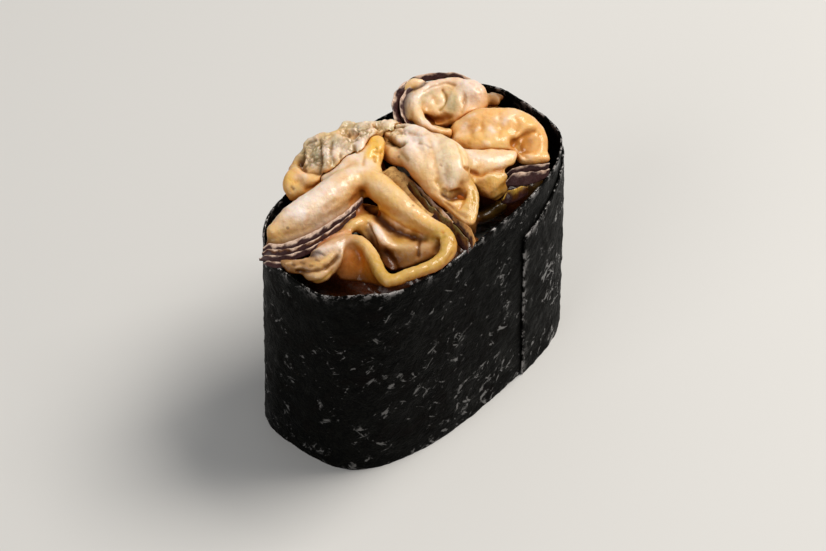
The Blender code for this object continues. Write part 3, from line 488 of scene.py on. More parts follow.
       (-0.3, 12.8, 36.7, 0.55), (0.5, 13, 36.8, 0.6), (1.2, 12.5, 36.8, 0.5),
      ]),
      ("pearl sage", [(0.2, 10.8, 37, 0.6), (1.1, 10.5, 37.1, 0.55)]),
      ("sage pearl", [(0.6, 8.6, 36.9, 0.5), (1.9, 8.7, 37, 0.6)]),
      ("cream sage", [(3.6, 8.4, 36.4, 0.5), (4.1, 7.4, 36.4, 0.55)]),
      ("sage cream", [(-6.5, 9.3, 35.9, 0.5), (-6, 8.5, 35.8, 0.5), (-4.8, 8.6, 36.1, 0.5)]),
      ("cream sage", [(-3.9, 7.8, 36.4, 0.45), (-3.1, 8, 36.8, 0.5)]),
      ("straw yolk apricot apricot blush", [
       (-11.3, 12.2, 33.5, 1.1), (-10.6, 12.8, 33.9, 1.2), (-9.6, 13, 34.3, 1.2),
       (-9, 12.3, 34.5, 1.15), (-8.8, 11.3, 34.4, 1),
      ]),
      ("straw sage straw", [
       (-11.6, 11.7, 33, 0.95), (-10.8, 11.1, 33.3, 1), (-9.7, 10.3, 33.5, 0.85),
      ]),
      ("cream straw straw blush", [
       (-9.2, 10.8, 34.3, 1.1), (-8.5, 9.8, 34.5, 0.95), (-7.6, 9.3, 34.7, 0.8),
      ]),
      ("rust apricot", [(-8.5, 14.3, 33.6, 0.8), (-7.2, 14.8, 33.6, 0.7)]),
    ],
    "leaves": [],
    "pillows": [
      ("moss", (-4.4, 10.2, 30.2), (7, 2.2, 4.2)),
      ("tan", (-0.4, 7.4, 31.2), (2.2, 2.2, 4)),
    ],
    "strokes": [
      ("moss", 0.7, 0.3, 0.3, [(-9.1, 12.6), (-7.9, 13.2), (-6.7, 14.1)]),
      ("moss", 0.6, 0.25, 0.22, [(-5.4, 14.7), (-4.8, 14.7), (-4, 14.3)]),
      ("umber", 0.8, 0.4, 0.4, [(-8.4, 13.2), (-9.1, 11.8)]),
      ("moss", 0.6, 0.25, 0.24, [(-3.5, 14), (-4.9, 12.5), (-6.5, 10.9), (-8.1, 9.8)]),
      ("moss", 0.5, 0.2, 0.2, [(-2.8, 12.4), (-4.3, 11.1), (-5.6, 9.5)]),
      ("moss", 0.6, 0.3, 0.3, [(-1.3, 9.8), (-2.2, 8.8), (-3.3, 8.2)]),
      ("moss", 0.6, 0.25, 0.22, [(-0.2, 11.8), (-0.3, 11.4)]),
      ("moss", 0.6, 0.25, 0.24, [(0.7, 10.7), (0.8, 10.3)]),
      ("moss", 0.5, 0.22, 0.2, [(-3.7, 10), (-4.6, 9)]),
      ("moss", 0.5, 0.25, 0.22, [(3.6, 10.5), (3.2, 9.6)]),
      ("khaki", 0.6, 0.2, 0.2, [(-12.9, 10.6), (-13, 10.2)]),
      ("pearl", 0.5, -0.1, 0.5, [(-11, 11.3), (-10.1, 10.7)]),
      ("rust", 0.5, 0.18, 0.3, [(-11.8, 8.8), (-10.5, 8.3), (-9.6, 8.5)]),
      ("rust", 0.5, 0.15, 0.4, [(-10, 8.3), (-9, 7.9)]),
      ("khaki", 0.6, 0.22, 0.24, [(-9.4, 11.5), (-8.8, 10.3), (-8.1, 9.1), (-6.7, 8.5)]),
    ],
  },
}

FRILLS = {
  "frill_front": {
    "slot": "mussel_flesh",
    "tints": "plum plum plum lip lip",
    "ruffle": 0.05,
    "wave": 4.4,
    "rows": [
      (-22.7, 6.8, 33.7, -22, 7.3, 34.3), (-21.8, 5.5, 33.7, -21.2, 5.9, 34.4),
      (-20.4, 4.2, 33.7, -19.7, 4.7, 34.5), (-18.4, 3.5, 33.8, -17.8, 4, 34.6),
      (-16.2, 2.8, 34, -15.7, 3.3, 34.8), (-13.9, 2.4, 34.2, -13.4, 2.8, 35),
      (-11.4, 2.1, 34.4, -10.9, 2.6, 35.1), (-9.4, 2.1, 34.5, -9, 2.7, 35.1),
      (-7.3, 2.5, 34.5, -6.9, 3.1, 34.8),
    ],
  },
  "frill_front_second": {
    "slot": "mussel_flesh",
    "tints": "plum plum plum plum umber lip",
    "ruffle": 0.05,
    "wave": 3.7,
    "rows": [
      (-23.2, 6.5, 33.4, -22.6, 6.9, 34), (-22.3, 5, 33.4, -21.7, 5.4, 34.1),
      (-20.9, 3.7, 33.3, -20.4, 4, 34.2), (-19.1, 2.8, 33.5, -18.5, 3.1, 34.3),
      (-17, 2.1, 33.7, -16.5, 2.4, 34.5), (-14.6, 1.7, 33.9, -14.1, 2, 34.7),
      (-12, 1.5, 34.1, -11.6, 1.9, 34.8), (-9.8, 1.6, 34.2, -9.4, 2, 34.7),
    ],
  },
  "frill_front_low": {
    "slot": "mussel_flesh",
    "tints": "plum plum plum plum plum lip",
    "ruffle": 0.08,
    "wave": 3.1,
    "rows": [
      (-24, 6.2, 33.1, -23.6, 6.7, 33.7), (-23, 4.8, 33.1, -22.6, 5.1, 33.8),
      (-21.6, 3.5, 33, -21.2, 3.7, 33.8), (-19.8, 2.5, 33.1, -19.3, 2.8, 33.8),
      (-17.8, 1.8, 33.3, -17.3, 2.1, 34), (-15.5, 1.4, 33.5, -15.1, 1.6, 34.2),
    ],
  },
  "frill_front_rim": {
    "slot": "mussel_flesh",
    "tints": "plum plum plum plum lip",
    "ruffle": 0.12,
    "wave": 2.1,
    "rows": [
      (-24.1, 5.3, 33, -23.9, 5.9, 33.5), (-23.5, 4.1, 32.8, -23.2, 4.6, 33.4),
      (-22.5, 3.1, 32.7, -22, 3.4, 33.3), (-21, 2.3, 32.9, -20.7, 2.5, 33.4),
    ],
  },
  "fringe_outer": {
    "slot": "mussel_flesh",
    "tints": "rust tan straw straw tan",
    "ruffle": 0.02,
    "wave": 5.1,
    "rows": [
      (-1.8, 4.3, 34.2, -0.3, 4.7, 35), (-1.6, 2.8, 34.1, 0.2, 3.1, 34.9),
      (-1.9, 0.8, 34, 0.1, 1, 34.7), (-2.5, -1.5, 33.8, -0.6, -1.5, 34.5),
      (-3, -3.8, 33.6, -1.5, -3.9, 34.2), (-3.2, -5.7, 33.4, -2.1, -5.8, 33.9),
    ],
  },
  "fringe_middle": {
    "slot": "mussel_flesh",
    "tints": "umber plum tan lip",
    "ruffle": 0.03,
    "wave": 3.9,
    "rows": [
      (-0.4, 0.6, 34, 0.2, 0.9, 34.7), (-1, -2.1, 33.8, -0.2, -1.7, 34.5),
      (-1.6, -4.6, 33.6, -0.7, -4.3, 34.3), (-2, -7, 33.4, -1.1, -6.7, 34),
      (-2.3, -8.9, 33.2, -1.5, -8.7, 33.8),
    ],
  },
  "frill_middle": {
    "slot": "mussel_flesh",
    "tints": "plum plum umber moss",
    "ruffle": 0.06,
    "wave": 3.4,
    "rows": [
      (-1.3, -0.1, 34, -0.2, 1.2, 35.2), (-2.2, -2.9, 33.6, -1.1, -1.7, 34.9),
      (-2.9, -5.7, 33.2, -1.6, -4.2, 34.5), (-3, -7.9, 32.8, -1.7, -6.4, 34.1),
      (-3.2, -10.2, 32.6, -1.8, -8.5, 33.9), (-3.6, -12.2, 32.5, -2.1, -10.6, 33.7),
      (-3.8, -13.5, 32.6, -2.4, -12.2, 33.4),
    ],
  },
  "frill_middle_edge": {
    "slot": "mussel_flesh",
    "tints": "umber plum tan tan",
    "ruffle": 0.06,
    "wave": 2.9,
    "rows": [
      (-1.2, -6.7, 33.5, -0.4, -6.2, 34.3), (-1.3, -8.5, 33.3, -0.4, -8.1, 34.1),
      (-1.6, -10.3, 33.1, -0.6, -9.9, 33.9), (-2.2, -12.1, 33, -1.1, -11.8, 33.7),
      (-3.1, -13.5, 33, -2.1, -13.2, 33.5),
    ],
  },
  "frill_right": {
    "slot": "mussel_orange",
    "tints": "plum plum plum plum lip",
    "ruffle": 0.06,
    "wave": 3.3,
    "rows": [
      (10.5, -7.4, 32.9, 10.9, -7.3, 33.6), (11.5, -8.3, 32.9, 12, -8, 33.8),
      (12.8, -9.2, 33, 13.3, -9, 33.9), (14, -10.4, 33.2, 14.4, -10.1, 34.1),
      (15, -11.3, 33.4, 15.4, -11.2, 34.2),
    ],
  },
  "frill_right_low": {
    "slot": "mussel_orange",
    "tints": "plum plum plum plum lip",
    "ruffle": 0.06,
    "wave": 2.8,
    "rows": [
      (9.4, -8.2, 32.3, 10.4, -7.6, 33.2), (10.5, -9.5, 32.3, 11.7, -8.6, 33.4),
      (11.9, -10.7, 32.4, 13, -9.9, 33.5), (13.5, -11.5, 32.6, 14.2, -11, 33.6),
      (14.6, -11.7, 32.9, 15.1, -11.5, 33.6),
    ],
  },
  "frill_right_root": {
    "slot": "mussel_orange",
    "tints": "plum plum umber honey",
    "ruffle": 0.28,
    "wave": 1.5,
    "rows": [
      (7.7, -9.3, 31, 8.2, -8.9, 32.5), (8.4, -10.2, 31, 9.2, -9.6, 32.7),
      (9.6, -10.8, 31.2, 10.3, -10.3, 32.8), (11, -11.1, 31.4, 11.5, -10.8, 32.5),
    ],
  },
  "frill_curled": {
    "slot": "mussel_flesh",
    "tints": "plum plum plum plum lip",
    "ruffle": 0.06,
    "wave": 3.3,
    "rows": [
      (7, 7.4, 34.8, 6.2, 7.9, 35.6), (7.8, 9.1, 35.1, 6.5, 9.3, 36.1),
      (9.1, 10.5, 35.5, 7.8, 10.9, 36.5), (10.8, 11.4, 35.9, 9.9, 12.1, 36.9),
      (12.5, 11.4, 36.2, 12, 12.4, 37), (14.2, 10.8, 36.4, 14.1, 11.5, 37.3),
      (15.8, 9.7, 36.4, 16, 10.1, 37.4), (17.3, 8.2, 36.3, 17.7, 8.2, 37.3),
      (18.2, 6.4, 36, 18.7, 6.1, 36.9),
    ],
  },
  "frill_curled_inner": {
    "slot": "mussel_flesh",
    "tints": "plum plum plum lip",
    "ruffle": 0.08,
    "wave": 2.6,
    "rows": [
      (7.5, 6.8, 34.8, 6.8, 7.2, 35.5), (8.3, 8.4, 35.2, 7.4, 8.7, 36),
      (9.6, 9.8, 35.5, 8.5, 10.1, 36.4), (11.2, 10.6, 35.9, 10.4, 11.2, 36.7),
      (12.8, 10.7, 36.1, 12.3, 11.2, 36.8),
    ],
  },
}


# ---------------------------------------------------------------- settings


def colour_setting(name, description, default):
    return bpy.props.FloatVectorProperty(
        name=name, description=description, subtype="COLOR", size=3, min=0, max=1, default=default
    )


def length_setting(name, description, default):
    return bpy.props.FloatProperty(
        name=name, description=description, default=default, min=0, unit="LENGTH",
        subtype="DISTANCE",
    )


class GunkanNori(bpy.types.PropertyGroup):
    thickness: length_setting("Thickness", "How thick the sheet is", 0.26 * MM)
    cell: length_setting("Cell", "Spacing of the sheet's mesh", 0.37 * MM)
    crinkle: length_setting("Crinkle", "Height of the creases in the sheet", 0.2 * MM)
    dark: colour_setting("Dark", "The sheet in its folds", (0.001, 0.0011, 0.001))
    fibre: colour_setting("Fibre", "The fibres that lie on top", (0.005, 0.005, 0.0038))


class GunkanRice(bpy.types.PropertyGroup):
    grain_length: length_setting("Grain length", "One cooked grain from end to end", 6.0 * MM)
    grain_width: length_setting("Grain width", "One cooked grain across", 2.7 * MM)
    spacing: length_setting("Spacing", "Distance between neighbouring grains", 2.9 * MM)
    colour: colour_setting("Colour", "The cooked rice", (0.82, 0.78, 0.68))


class GunkanFlesh(bpy.types.PropertyGroup):
    voxel: length_setting("Voxel", "Grain of the finished surface", 0.17 * MM)
    wrinkle: length_setting("Wrinkle", "Height of the soft wrinkles", 0.13 * MM)
    curd: length_setting("Curd", "Depth of the clefts between the gills' small lumps", 0.26 * MM)
    # Milk is a painted highlight: the cream whitened on the folds that catch the most light.
    milk: colour_setting("Milk", "The nearly white cream of the brightest folds", (0.89, 0.74, 0.51))
    pearl: colour_setting("Pearl", "The palest, pinkish white of the mantle", (0.885, 0.755, 0.68))
    cream: colour_setting("Cream", "The mantle's cream", (0.84, 0.61, 0.36))
    blush: colour_setting("Blush", "The pink of its inner lips", (0.81, 0.5, 0.3))
    straw: colour_setting("Straw", "The yellowish cream of its ribbons", (0.84, 0.53, 0.185))
    # Honey is a darker copy of straw: painted shade on the shaded side of the ribbons and thin
    # folds.
    honey: colour_setting("Honey", "The gold of its thin ribbons", (0.6, 0.36, 0.06))
    apricot: colour_setting("Apricot", "The orange of the plump lobes", (0.87, 0.5, 0.185))
    yolk: colour_setting("Yolk", "The yellow of the foot", (0.88, 0.52, 0.055))
    sage: colour_setting("Sage", "The grey-green cream of the gills", (0.52, 0.455, 0.265))
    # Moss is the gills' own dark green, and in their clefts and in the low dark fillers painted
    # shade.
    moss: colour_setting("Moss", "The dark green between the gills", (0.16, 0.115, 0.03))
    olive: colour_setting("Olive", "The body below the lobes", (0.485, 0.328, 0.07))
    khaki: colour_setting("Khaki", "The shaded body", (0.242, 0.127, 0.042))
    tan: colour_setting("Tan", "The flesh inside the folds", (0.52, 0.265, 0.085))
    # Rust is the dimple's own deep orange and painted shade, in the dimple and under the elbow.
    rust: colour_setting("Rust", "The deep orange of the plump lobe's dimple", (0.617, 0.279, 0.048))
    russet: colour_setting("Russet", "The red-brown edge under the lips", (0.514, 0.156, 0.053))
    # Amber is a painted glow in the hollows.
    amber: colour_setting("Amber", "The glow in the hollows", (0.8, 0.3, 0.03))
    # Umber is painted shade on the floors of the hollows and in the gaps, and the frills' own dark
    # brown.
    umber: colour_setting("Umber", "The floor of the hollows", (0.13, 0.045, 0.008))
    # Lip is the mantle edge's own pale rim, with painted glints of the wet ruffles on it.
    lip: colour_setting("Lip", "The pale rim of the mantle's dark edge", (0.7, 0.51, 0.39))
    plum: colour_setting("Plum", "The dark edge of the mantle", (0.045, 0.017, 0.016))


# ---------------------------------------------------------------- making and changing objects


def deselect():
    bpy.ops.object.select_all(action="DESELECT")


def select_only(piece):
    deselect()
    piece.select_set(True)
    bpy.context.view_layer.objects.active = piece


def apply_modifier(piece, kind, **settings):
    select_only(piece)
    bpy.ops.object.modifier_add(type=kind)
    modifier = piece.modifiers[-1]
    for setting, value in settings.items():
        setattr(modifier, setting, value)
    bpy.ops.object.modifier_apply(modifier=modifier.name)


def join(pieces, name):
    deselect()
    for piece in pieces:
        piece.select_set(True)
    bpy.context.view_layer.objects.active = pieces[0]
    bpy.ops.object.join()
    joined = bpy.context.view_layer.objects.active
    joined.name = name
    joined.data.name = name
    return joined


def twin(piece, name):
    copy = bpy.data.objects.new(name, piece.data.copy())
    bpy.context.scene.collection.objects.link(copy)
    return copy


def points_of(piece):
    found = np.empty(len(piece.data.vertices) * 3)
    piece.data.vertices.foreach_get("co", found)
    return found.reshape(-1, 3)


def move_points(piece, points):
    piece.data.vertices.foreach_set("co", np.asarray(points, float).ravel())
    piece.data.update()


def normals_of(piece):
    found = np.empty(len(piece.data.vertices) * 3)
    piece.data.vertex_normals.foreach_get("vector", found)
    return found.reshape(-1, 3)


def edges_of(piece):
    found = np.empty(len(piece.data.edges) * 2, dtype=int)
    piece.data.edges.foreach_get("vertices", found)
    return found.reshape(-1, 2)


def add_sheet(columns, rows):
    """A flat sheet, and how far each of its points lies along and across it, from 0 to 1."""
    bpy.ops.mesh.primitive_grid_add(x_subdivisions=columns, y_subdivisions=rows, size=2)
    sheet = bpy.context.active_object
    flat = points_of(sheet)
    return sheet, (flat[:, 0] + 1) / 2, (flat[:, 1] + 1) / 2


def store_values(piece, name, values):
    """Puts a number on every point of the piece, for its material to read."""
    layer = piece.data.attributes.new(name, "FLOAT", "POINT")
    layer.data.foreach_set("value", values.astype(np.float32))


def store_tint(piece, tint):
    """Puts a colour on every point of the piece, for its material to read."""
    layer = piece.data.color_attributes.new("tint", "FLOAT_COLOR", "POINT")
    colours = np.c_[np.clip(tint, 0, 1), np.ones(len(tint))]
    layer.data.foreach_set("color", colours.astype(np.float32).ravel())


def finish_piece(piece, material, slot, *nodes):
    """The piece gets its material, its body and the CAD nodes that it stands for."""
    piece.data.materials.clear()
    piece.data.materials.append(material)
    select_only(piece)
    bpy.ops.object.transform_apply(location=True, rotation=True, scale=True)
    bpy.ops.object.shade_smooth()
    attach(piece, BODY)
    if nodes:
        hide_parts(*nodes)


def smoothstep(value, low, high):
    share = np.clip((value - low) / (high - low), 0, 1)
    return share * share * (3 - 2 * share)


def smooth_rows(rows, places):
    """The rows' values at places from 0 to 1 along them, on a smooth curve through every row."""
    rows = np.asarray(rows, float)
    ends = np.vstack([2 * rows[0] - rows[1], rows, 2 * rows[-1] - rows[-2]])
    at = np.clip(np.asarray(places, float) * (len(rows) - 1), 0, len(rows) - 1 - 1e-9)
    k = at.astype(int)
    t = (at - k)[:, None]
    a, b, c, d = (ends[k + i] for i in range(4))
    square, cube = 2 * a - 5 * b + 4 * c - d, 3 * b - a - 3 * c + d
    return 0.5 * (2 * b + (c - a) * t + square * t**2 + cube * t**3)


def strip_between(rows, along, across, step):
    """Points of a strip between its two edges, and the way that its surface faces at each."""
    edges = smooth_rows(rows, along)
    ahead = smooth_rows(rows, np.clip(along + step, 0, 1))
    ahead = ahead - smooth_rows(rows, np.clip(along - step, 0, 1))
    face = np.cross(ahead[:, :3] + ahead[:, 3:], edges[:, 3:] - edges[:, :3])
    face /= np.linalg.norm(face, axis=1)[:, None]
    return edges[:, :3] + (edges[:, 3:] - edges[:, :3]) * across[:, None], face


# ---------------------------------------------------------------- the band's oval


def oval(angle):
    cosine, sine = np.cos(angle), np.sin(angle)
    x = BAND_HALF_LENGTH * np.sign(cosine) * np.abs(cosine) ** (2 / OVAL_POWER)
    y = BAND_HALF_WIDTH * np.sign(sine) * np.abs(sine) ** (2 / OVAL_POWER)
    return x, y


def oval_share(x, y, inset):
    """Under 1 inside the oval that lies that far in from the band's, 1 on it and more outside."""
    across_length = np.abs(x) / (BAND_HALF_LENGTH - inset)
    across_width = np.abs(y) / (BAND_HALF_WIDTH - inset)
    return across_length**OVAL_POWER + across_width**OVAL_POWER


def wander(angle, height):
    """How far the sheet strays in or out, from about -1 to 1."""
    level = height / RIM_LEVEL
    return 0.55 * np.sin(3 * angle + 2.2 * level) + 0.45 * np.sin(7 * angle - 3.1 * level + 1)


def shoulder(angle):
    """1 at the band's front left shoulder, and 0 away from it."""
    away = np.angle(np.exp(1j * (angle - SHOULDER_ANGLE)))
    return np.exp(-((away / SHOULDER_SPREAD) ** 2))


def rim_height(angle):
    stray = 0.6 * np.sin(4 * angle + 0.5) + 0.4 * np.sin(9 * angle)
    return RIM_LEVEL - RIM_WANDER * (1 - stray) + SHOULDER_RISE * shoulder(angle)


# ---------------------------------------------------------------- materials


# Colours that the materials mix in: red, green, blue and alpha.
FLESH_CLOUD = (0.95, 0.82, 0.58, 1)
FLESH_VEIN = (0.86, 0.60, 0.36, 1)
FLESH_FRECKLE = (0.16, 0.08, 0.03, 1)
FRILL_FLECK = (0.42, 0.26, 0.20, 1)
NORI_PATCH = (0.005, 0.003, 0.0025, 1)
NORI_GLINT = (0.10, 0.096, 0.092, 1)
NORI_RIM_GLINT = (0.33, 0.31, 0.30, 1)
RICE_SHADE = (0.93, 0.90, 0.84)  # what is left of the rice's colour in its cloudy places

# The nori's glints lie in three layers: each one's slant and how fine it is, and their stretch.
NORI_STREAKS = ((0.9, 1050), (0.35, 760), (-0.7, 900))
STREAK_STRETCH = (2.2, 0.75, 1.0)


class Nodes:
    """Adds nodes to a tree and links them."""

    def __init__(self, tree):
        self.tree = tree

    def add(self, kind, **settings):
        node = self.tree.nodes.new(kind)
        for setting, value in settings.items():
            setattr(node, setting, value)
        return node

    def feed(self, socket, value):
        if isinstance(value, bpy.types.NodeSocket):
            self.tree.links.new(value, socket)
        else:
            socket.default_value = value

    def feed_all(self, node, **values):
        """Feeds a node's inputs by their names, with _ for a space."""
        for name, value in values.items():
            self.feed(node.inputs[name.replace("_", " ")], value)

    def place(self):
        return self.add("ShaderNodeTexCoord").outputs["Object"]

    def stored(self, name, output="Fac"):
        """What is stored on the piece's points under that name."""
        return self.add("ShaderNodeAttribute", attribute_name=name).outputs[output]

    def noise(self, vector, scale, detail=3.0, roughness=0.55, distortion=0.0):
        node = self.add("ShaderNodeTexNoise")
        self.feed_all(node, Vector=vector, Scale=scale, Detail=detail)
        self.feed_all(node, Roughness=roughness, Distortion=distortion)
        return node.outputs["Fac"]

    def cells(self, vector, scale):
        """Distance from the nearest of points strewn at random."""
        node = self.add("ShaderNodeTexVoronoi")
        self.feed_all(node, Vector=vector, Scale=scale)
        return node.outputs["Distance"]

    def turned(self, vector, rotation, scale):
        """The vector turned, and then divided by the scale."""
        node = self.add("ShaderNodeMapping", vector_type="TEXTURE")
        self.feed_all(node, Vector=vector, Rotation=rotation, Scale=scale)
        return node.outputs["Vector"]

    def math(self, operation, *values):
        node = self.add("ShaderNodeMath", operation=operation)
        for socket, value in zip(node.inputs, values):
            self.feed(socket, value)
        return node.outputs[0]

    def ramp(self, value, low, high, new_low=0.0, new_high=1.0):
        node = self.add("ShaderNodeMapRange", interpolation_type="SMOOTHSTEP")
        self.feed_all(node, Value=value, From_Min=low, From_Max=high)
        self.feed_all(node, To_Min=new_low, To_Max=new_high)
        return node.outputs["Result"]

    def mix(self, share, first, second, blend="MIX"):
        node = self.add("ShaderNodeMix", data_type="RGBA", blend_type=blend)
        colours = node.inputs[6:8]
        for socket, value in zip((node.inputs["Factor"], *colours), (share, first, second)):
            self.feed(socket, value)
        return node.outputs[2]

    def bump(self, height, distance, strength, **normal):
        node = self.add("ShaderNodeBump")
        self.feed_all(node, Height=height, Distance=distance, Strength=strength, **normal)
        return node.outputs["Normal"]


def new_material(name):
    """A new material, with its nodes and its shader."""
    material = bpy.data.materials.new(name)
    material.use_nodes = True
    return material, Nodes(material.node_tree), material.node_tree.nodes["Principled BSDF"]


def wet_skin_group():
    """A shader node group: the fine skin of something moist, as a normal and a roughness."""
    tree = bpy.data.node_groups.new("wet_skin", "ShaderNodeTree")
    tree.interface.new_socket(name="Place", in_out="INPUT", socket_type="NodeSocketVector")
    defaults = {"Grain": 1000.0, "Depth": 0.5, "Smoothest": 0.25, "Roughest": 0.45}
    for name, default in defaults.items():
        socket = tree.interface.new_socket(name=name, in_out="INPUT", socket_type="NodeSocketFloat")
        socket.default_value = default
    for name, kind in (("Normal", "NodeSocketVector"), ("Roughness", "NodeSocketFloat")):
        tree.interface.new_socket(name=name, in_out="OUTPUT", socket_type=kind)
    nodes = Nodes(tree)
    given = nodes.add("NodeGroupInput").outputs
    result = nodes.add("NodeGroupOutput").inputs
    wrinkle = nodes.noise(given["Place"], given["Grain"], 4, 0.6, 0.6)
    fine = nodes.noise(given["Place"], nodes.math("MULTIPLY", given["Grain"], 2.9), 3, 0.6)
    height = nodes.math(
        "ADD", nodes.math("MULTIPLY", wrinkle, 0.7), nodes.math("MULTIPLY", fine, 0.3)
    )
    nodes.feed(result["Normal"], nodes.bump(height, 0.22 * MM, given["Depth"]))
    spread = nodes.math("SUBTRACT", given["Roughest"], given["Smoothest"])
    rough = nodes.math("MULTIPLY_ADD", nodes.ramp(wrinkle, 0.3, 0.7), spread, given["Smoothest"])
    nodes.feed(result["Roughness"], rough)
    return tree


def add_wet_skin(nodes, shader, place, grain, depth, smoothest, roughest):
    tree = bpy.data.node_groups.get("wet_skin") or wet_skin_group()
    group = nodes.add("ShaderNodeGroup", node_tree=tree)
    nodes.feed_all(
        group, Place=place, Grain=grain, Depth=depth, Smoothest=smoothest, Roughest=roughest
    )
    for name in ("Normal", "Roughness"):
        nodes.feed(shader.inputs[name], group.outputs[name])


def flesh_material():
    """Wet cooked flesh: the painted tint with veins, freckles and a fine skin, glowing a little."""
    material, nodes, shader = new_material("mussel_flesh")
    place = nodes.place()
    cloud = nodes.ramp(nodes.noise(place, 420), 0.35, 0.7, 0.0, 0.4)
    base = nodes.mix(cloud, nodes.stored("tint", "Color"), FLESH_CLOUD, "MULTIPLY")
    vein = nodes.ramp(nodes.noise(place, 900, 4, 0.6, 1.2), 0.56, 0.74, 0.0, 0.4)
    base = nodes.mix(vein, base, FLESH_VEIN, "MULTIPLY")
    spot = nodes.ramp(nodes.cells(place, 700), 0.10, 0.22, 1.0, 0.0)
    spotted = nodes.ramp(nodes.noise(place, 260, 2), 0.60, 0.68)
    freckle = nodes.math("MULTIPLY", nodes.math("MULTIPLY", spot, spotted), 0.5)
    base = nodes.mix(freckle, base, FLESH_FRECKLE)
    add_wet_skin(nodes, shader, place, 1100, 0.75, 0.3, 0.52)
    nodes.feed_all(
        shader,
        Base_Color=base,
        # The coat's sheen fades with shelter: painted shade on the sheen.
        Coat_Weight=nodes.math("MULTIPLY", nodes.stored("wet"), 0.55),
        Coat_Roughness=0.17,
        Specular_IOR_Level=0.07,
        IOR=1.42,
        Subsurface_Weight=0.3,
        Subsurface_Radius=(1.0, 0.45, 0.15),
        Subsurface_Scale=0.8 * MM,
    )
    return material


def frill_material():
    """The mantle's ruffled edge: its painted tint, broken into darker and paler flecks."""
    material, nodes, shader = new_material("mussel_frill")
    place = nodes.place()
    fleck = nodes.ramp(nodes.noise(place, 1300, 4, 0.7, 0.4), 0.46, 0.64, 0.0, 0.6)
    base = nodes.mix(fleck, nodes.stored("tint", "Color"), FRILL_FLECK, "MULTIPLY")
    add_wet_skin(nodes, shader, place, 1500, 0.7, 0.2, 0.4)
    nodes.feed_all(
        shader, Base_Color=base, Coat_Weight=0.3, Coat_Roughness=0.1, Specular_IOR_Level=0.15
    )
    return material


def nori_material(settings):
    """Toasted seaweed: a near-black film of matted fibres, with short slanting glints."""
    material, nodes, shader = new_material("nori")
    place = nodes.place()
    sheet = nodes.stored("sheet", "Vector")
    fibre = nodes.noise(place, 1500, 5, 0.65, 1.4)
    patch = nodes.noise(place, 260, 4, 0.6, 0.4)
    base = nodes.mix(nodes.ramp(fibre, 0.42, 0.68), (*settings.dark, 1), (*settings.fibre, 1))
    base = nodes.mix(nodes.ramp(patch, 0.5, 0.75, 0.0, 0.5), base, NORI_PATCH)
    first, second, third = (
        nodes.noise(nodes.turned(sheet, (0, 0, turn), STREAK_STRETCH), scale, 4, 0.6, 0.7)
        for turn, scale in NORI_STREAKS
    )
    streak = nodes.math("MAXIMUM", nodes.math("MAXIMUM", first, second), third)
    cluster = nodes.ramp(nodes.noise(sheet, 210, 4, 0.7, 0.6), 0.44, 0.66, 0.0, 0.14)
    shine = nodes.math("MULTIPLY", nodes.stored("shine"), 0.03)
    level = nodes.math("ADD", nodes.math("ADD", streak, cluster), shine)
    glint = nodes.ramp(level, 0.705, 0.785)
    # Painted glints: short pale streaks in the base colour, also glossy under the coat.
    base = nodes.mix(nodes.math("MULTIPLY", glint, 0.8), base, NORI_GLINT)
    # Painted glints along the rim and the cut end, broken into flecks.
    fleck = nodes.ramp(nodes.noise(place, 620, 4, 0.75), 0.50, 0.60)
    edge = nodes.math("MULTIPLY", nodes.stored("rim"), fleck)
    base = nodes.mix(nodes.math("MULTIPLY", edge, 0.9), base, NORI_RIM_GLINT)
    creases = nodes.bump(nodes.noise(place, 520, 4, 0.6, 0.8), 0.5 * MM, 0.7)
    mat = nodes.math("ADD", nodes.math("MULTIPLY", fibre, 0.5), nodes.math("MULTIPLY", streak, 0.5))
    nodes.feed_all(
        shader,
        Base_Color=base,
        Normal=nodes.bump(mat, 0.25 * MM, 0.8, Normal=creases),
        Roughness=nodes.ramp(patch, 0.35, 0.65, 0.42, 0.62),
        Coat_Weight=nodes.math("MAXIMUM", glint, edge),
        Coat_Roughness=0.15,
        Specular_IOR_Level=0.03,
    )
    return material


def rice_material(settings):
    """Cooked rice: nearly white, a little cloudy, and glowing softly where it is thin."""
    material, nodes, shader = new_material("rice")
    place = nodes.place()
    shade = [value * share for value, share in zip(settings.colour, RICE_SHADE)]
    cloud = nodes.ramp(nodes.noise(place, 330), 0.35, 0.65)
    add_wet_skin(nodes, shader, place, 830, 0.3, 0.3, 0.5)
    nodes.feed_all(
        shader,
        Base_Color=nodes.mix(cloud, (*settings.colour, 1), (*shade, 1)),
        Subsurface_Weight=0.4,
        Subsurface_Radius=(1.0, 0.8, 0.6),
        Subsurface_Scale=MM,
    )
    return material


# ---------------------------------------------------------------- the nori band


# The lap: the oval angles of the strip's outer cut end and of where it lies on the band again, how
# high its top is at that cut and how far it rises, and how far it stands off and over what angle.
LAP_START, LAP_END = -1.37, 0.9
LAP_TOP = 26.5 * MM
LAP_RISE = 5.8 * MM
LAP_STAND = 0.34 * MM
LAP_EASE = 0.7

SHEET_INSET = 0.2 * MM
SHEET_FOOT = 0.02 * MM
RAGGED_RIM = 0.16 * MM
# How far the painted glints along the rim and along the outer cut end reach.
RIM_GLINT_REACH = 0.45 * MM
CUT_GLINT_REACH = 0.35 * MM


def strip_angles(count):
    """The strip's length, and evenly spaced oval angles from its outer cut end to its inner one."""
    fine = np.linspace(LAP_START, LAP_END + math.tau, 6000)
    x, y = oval(fine)
    reached = np.concatenate([[0], np.cumsum(np.hypot(np.diff(x), np.diff(y)))])
    return reached[-1], np.interp(np.linspace(0, reached[-1], count), reached, fine)


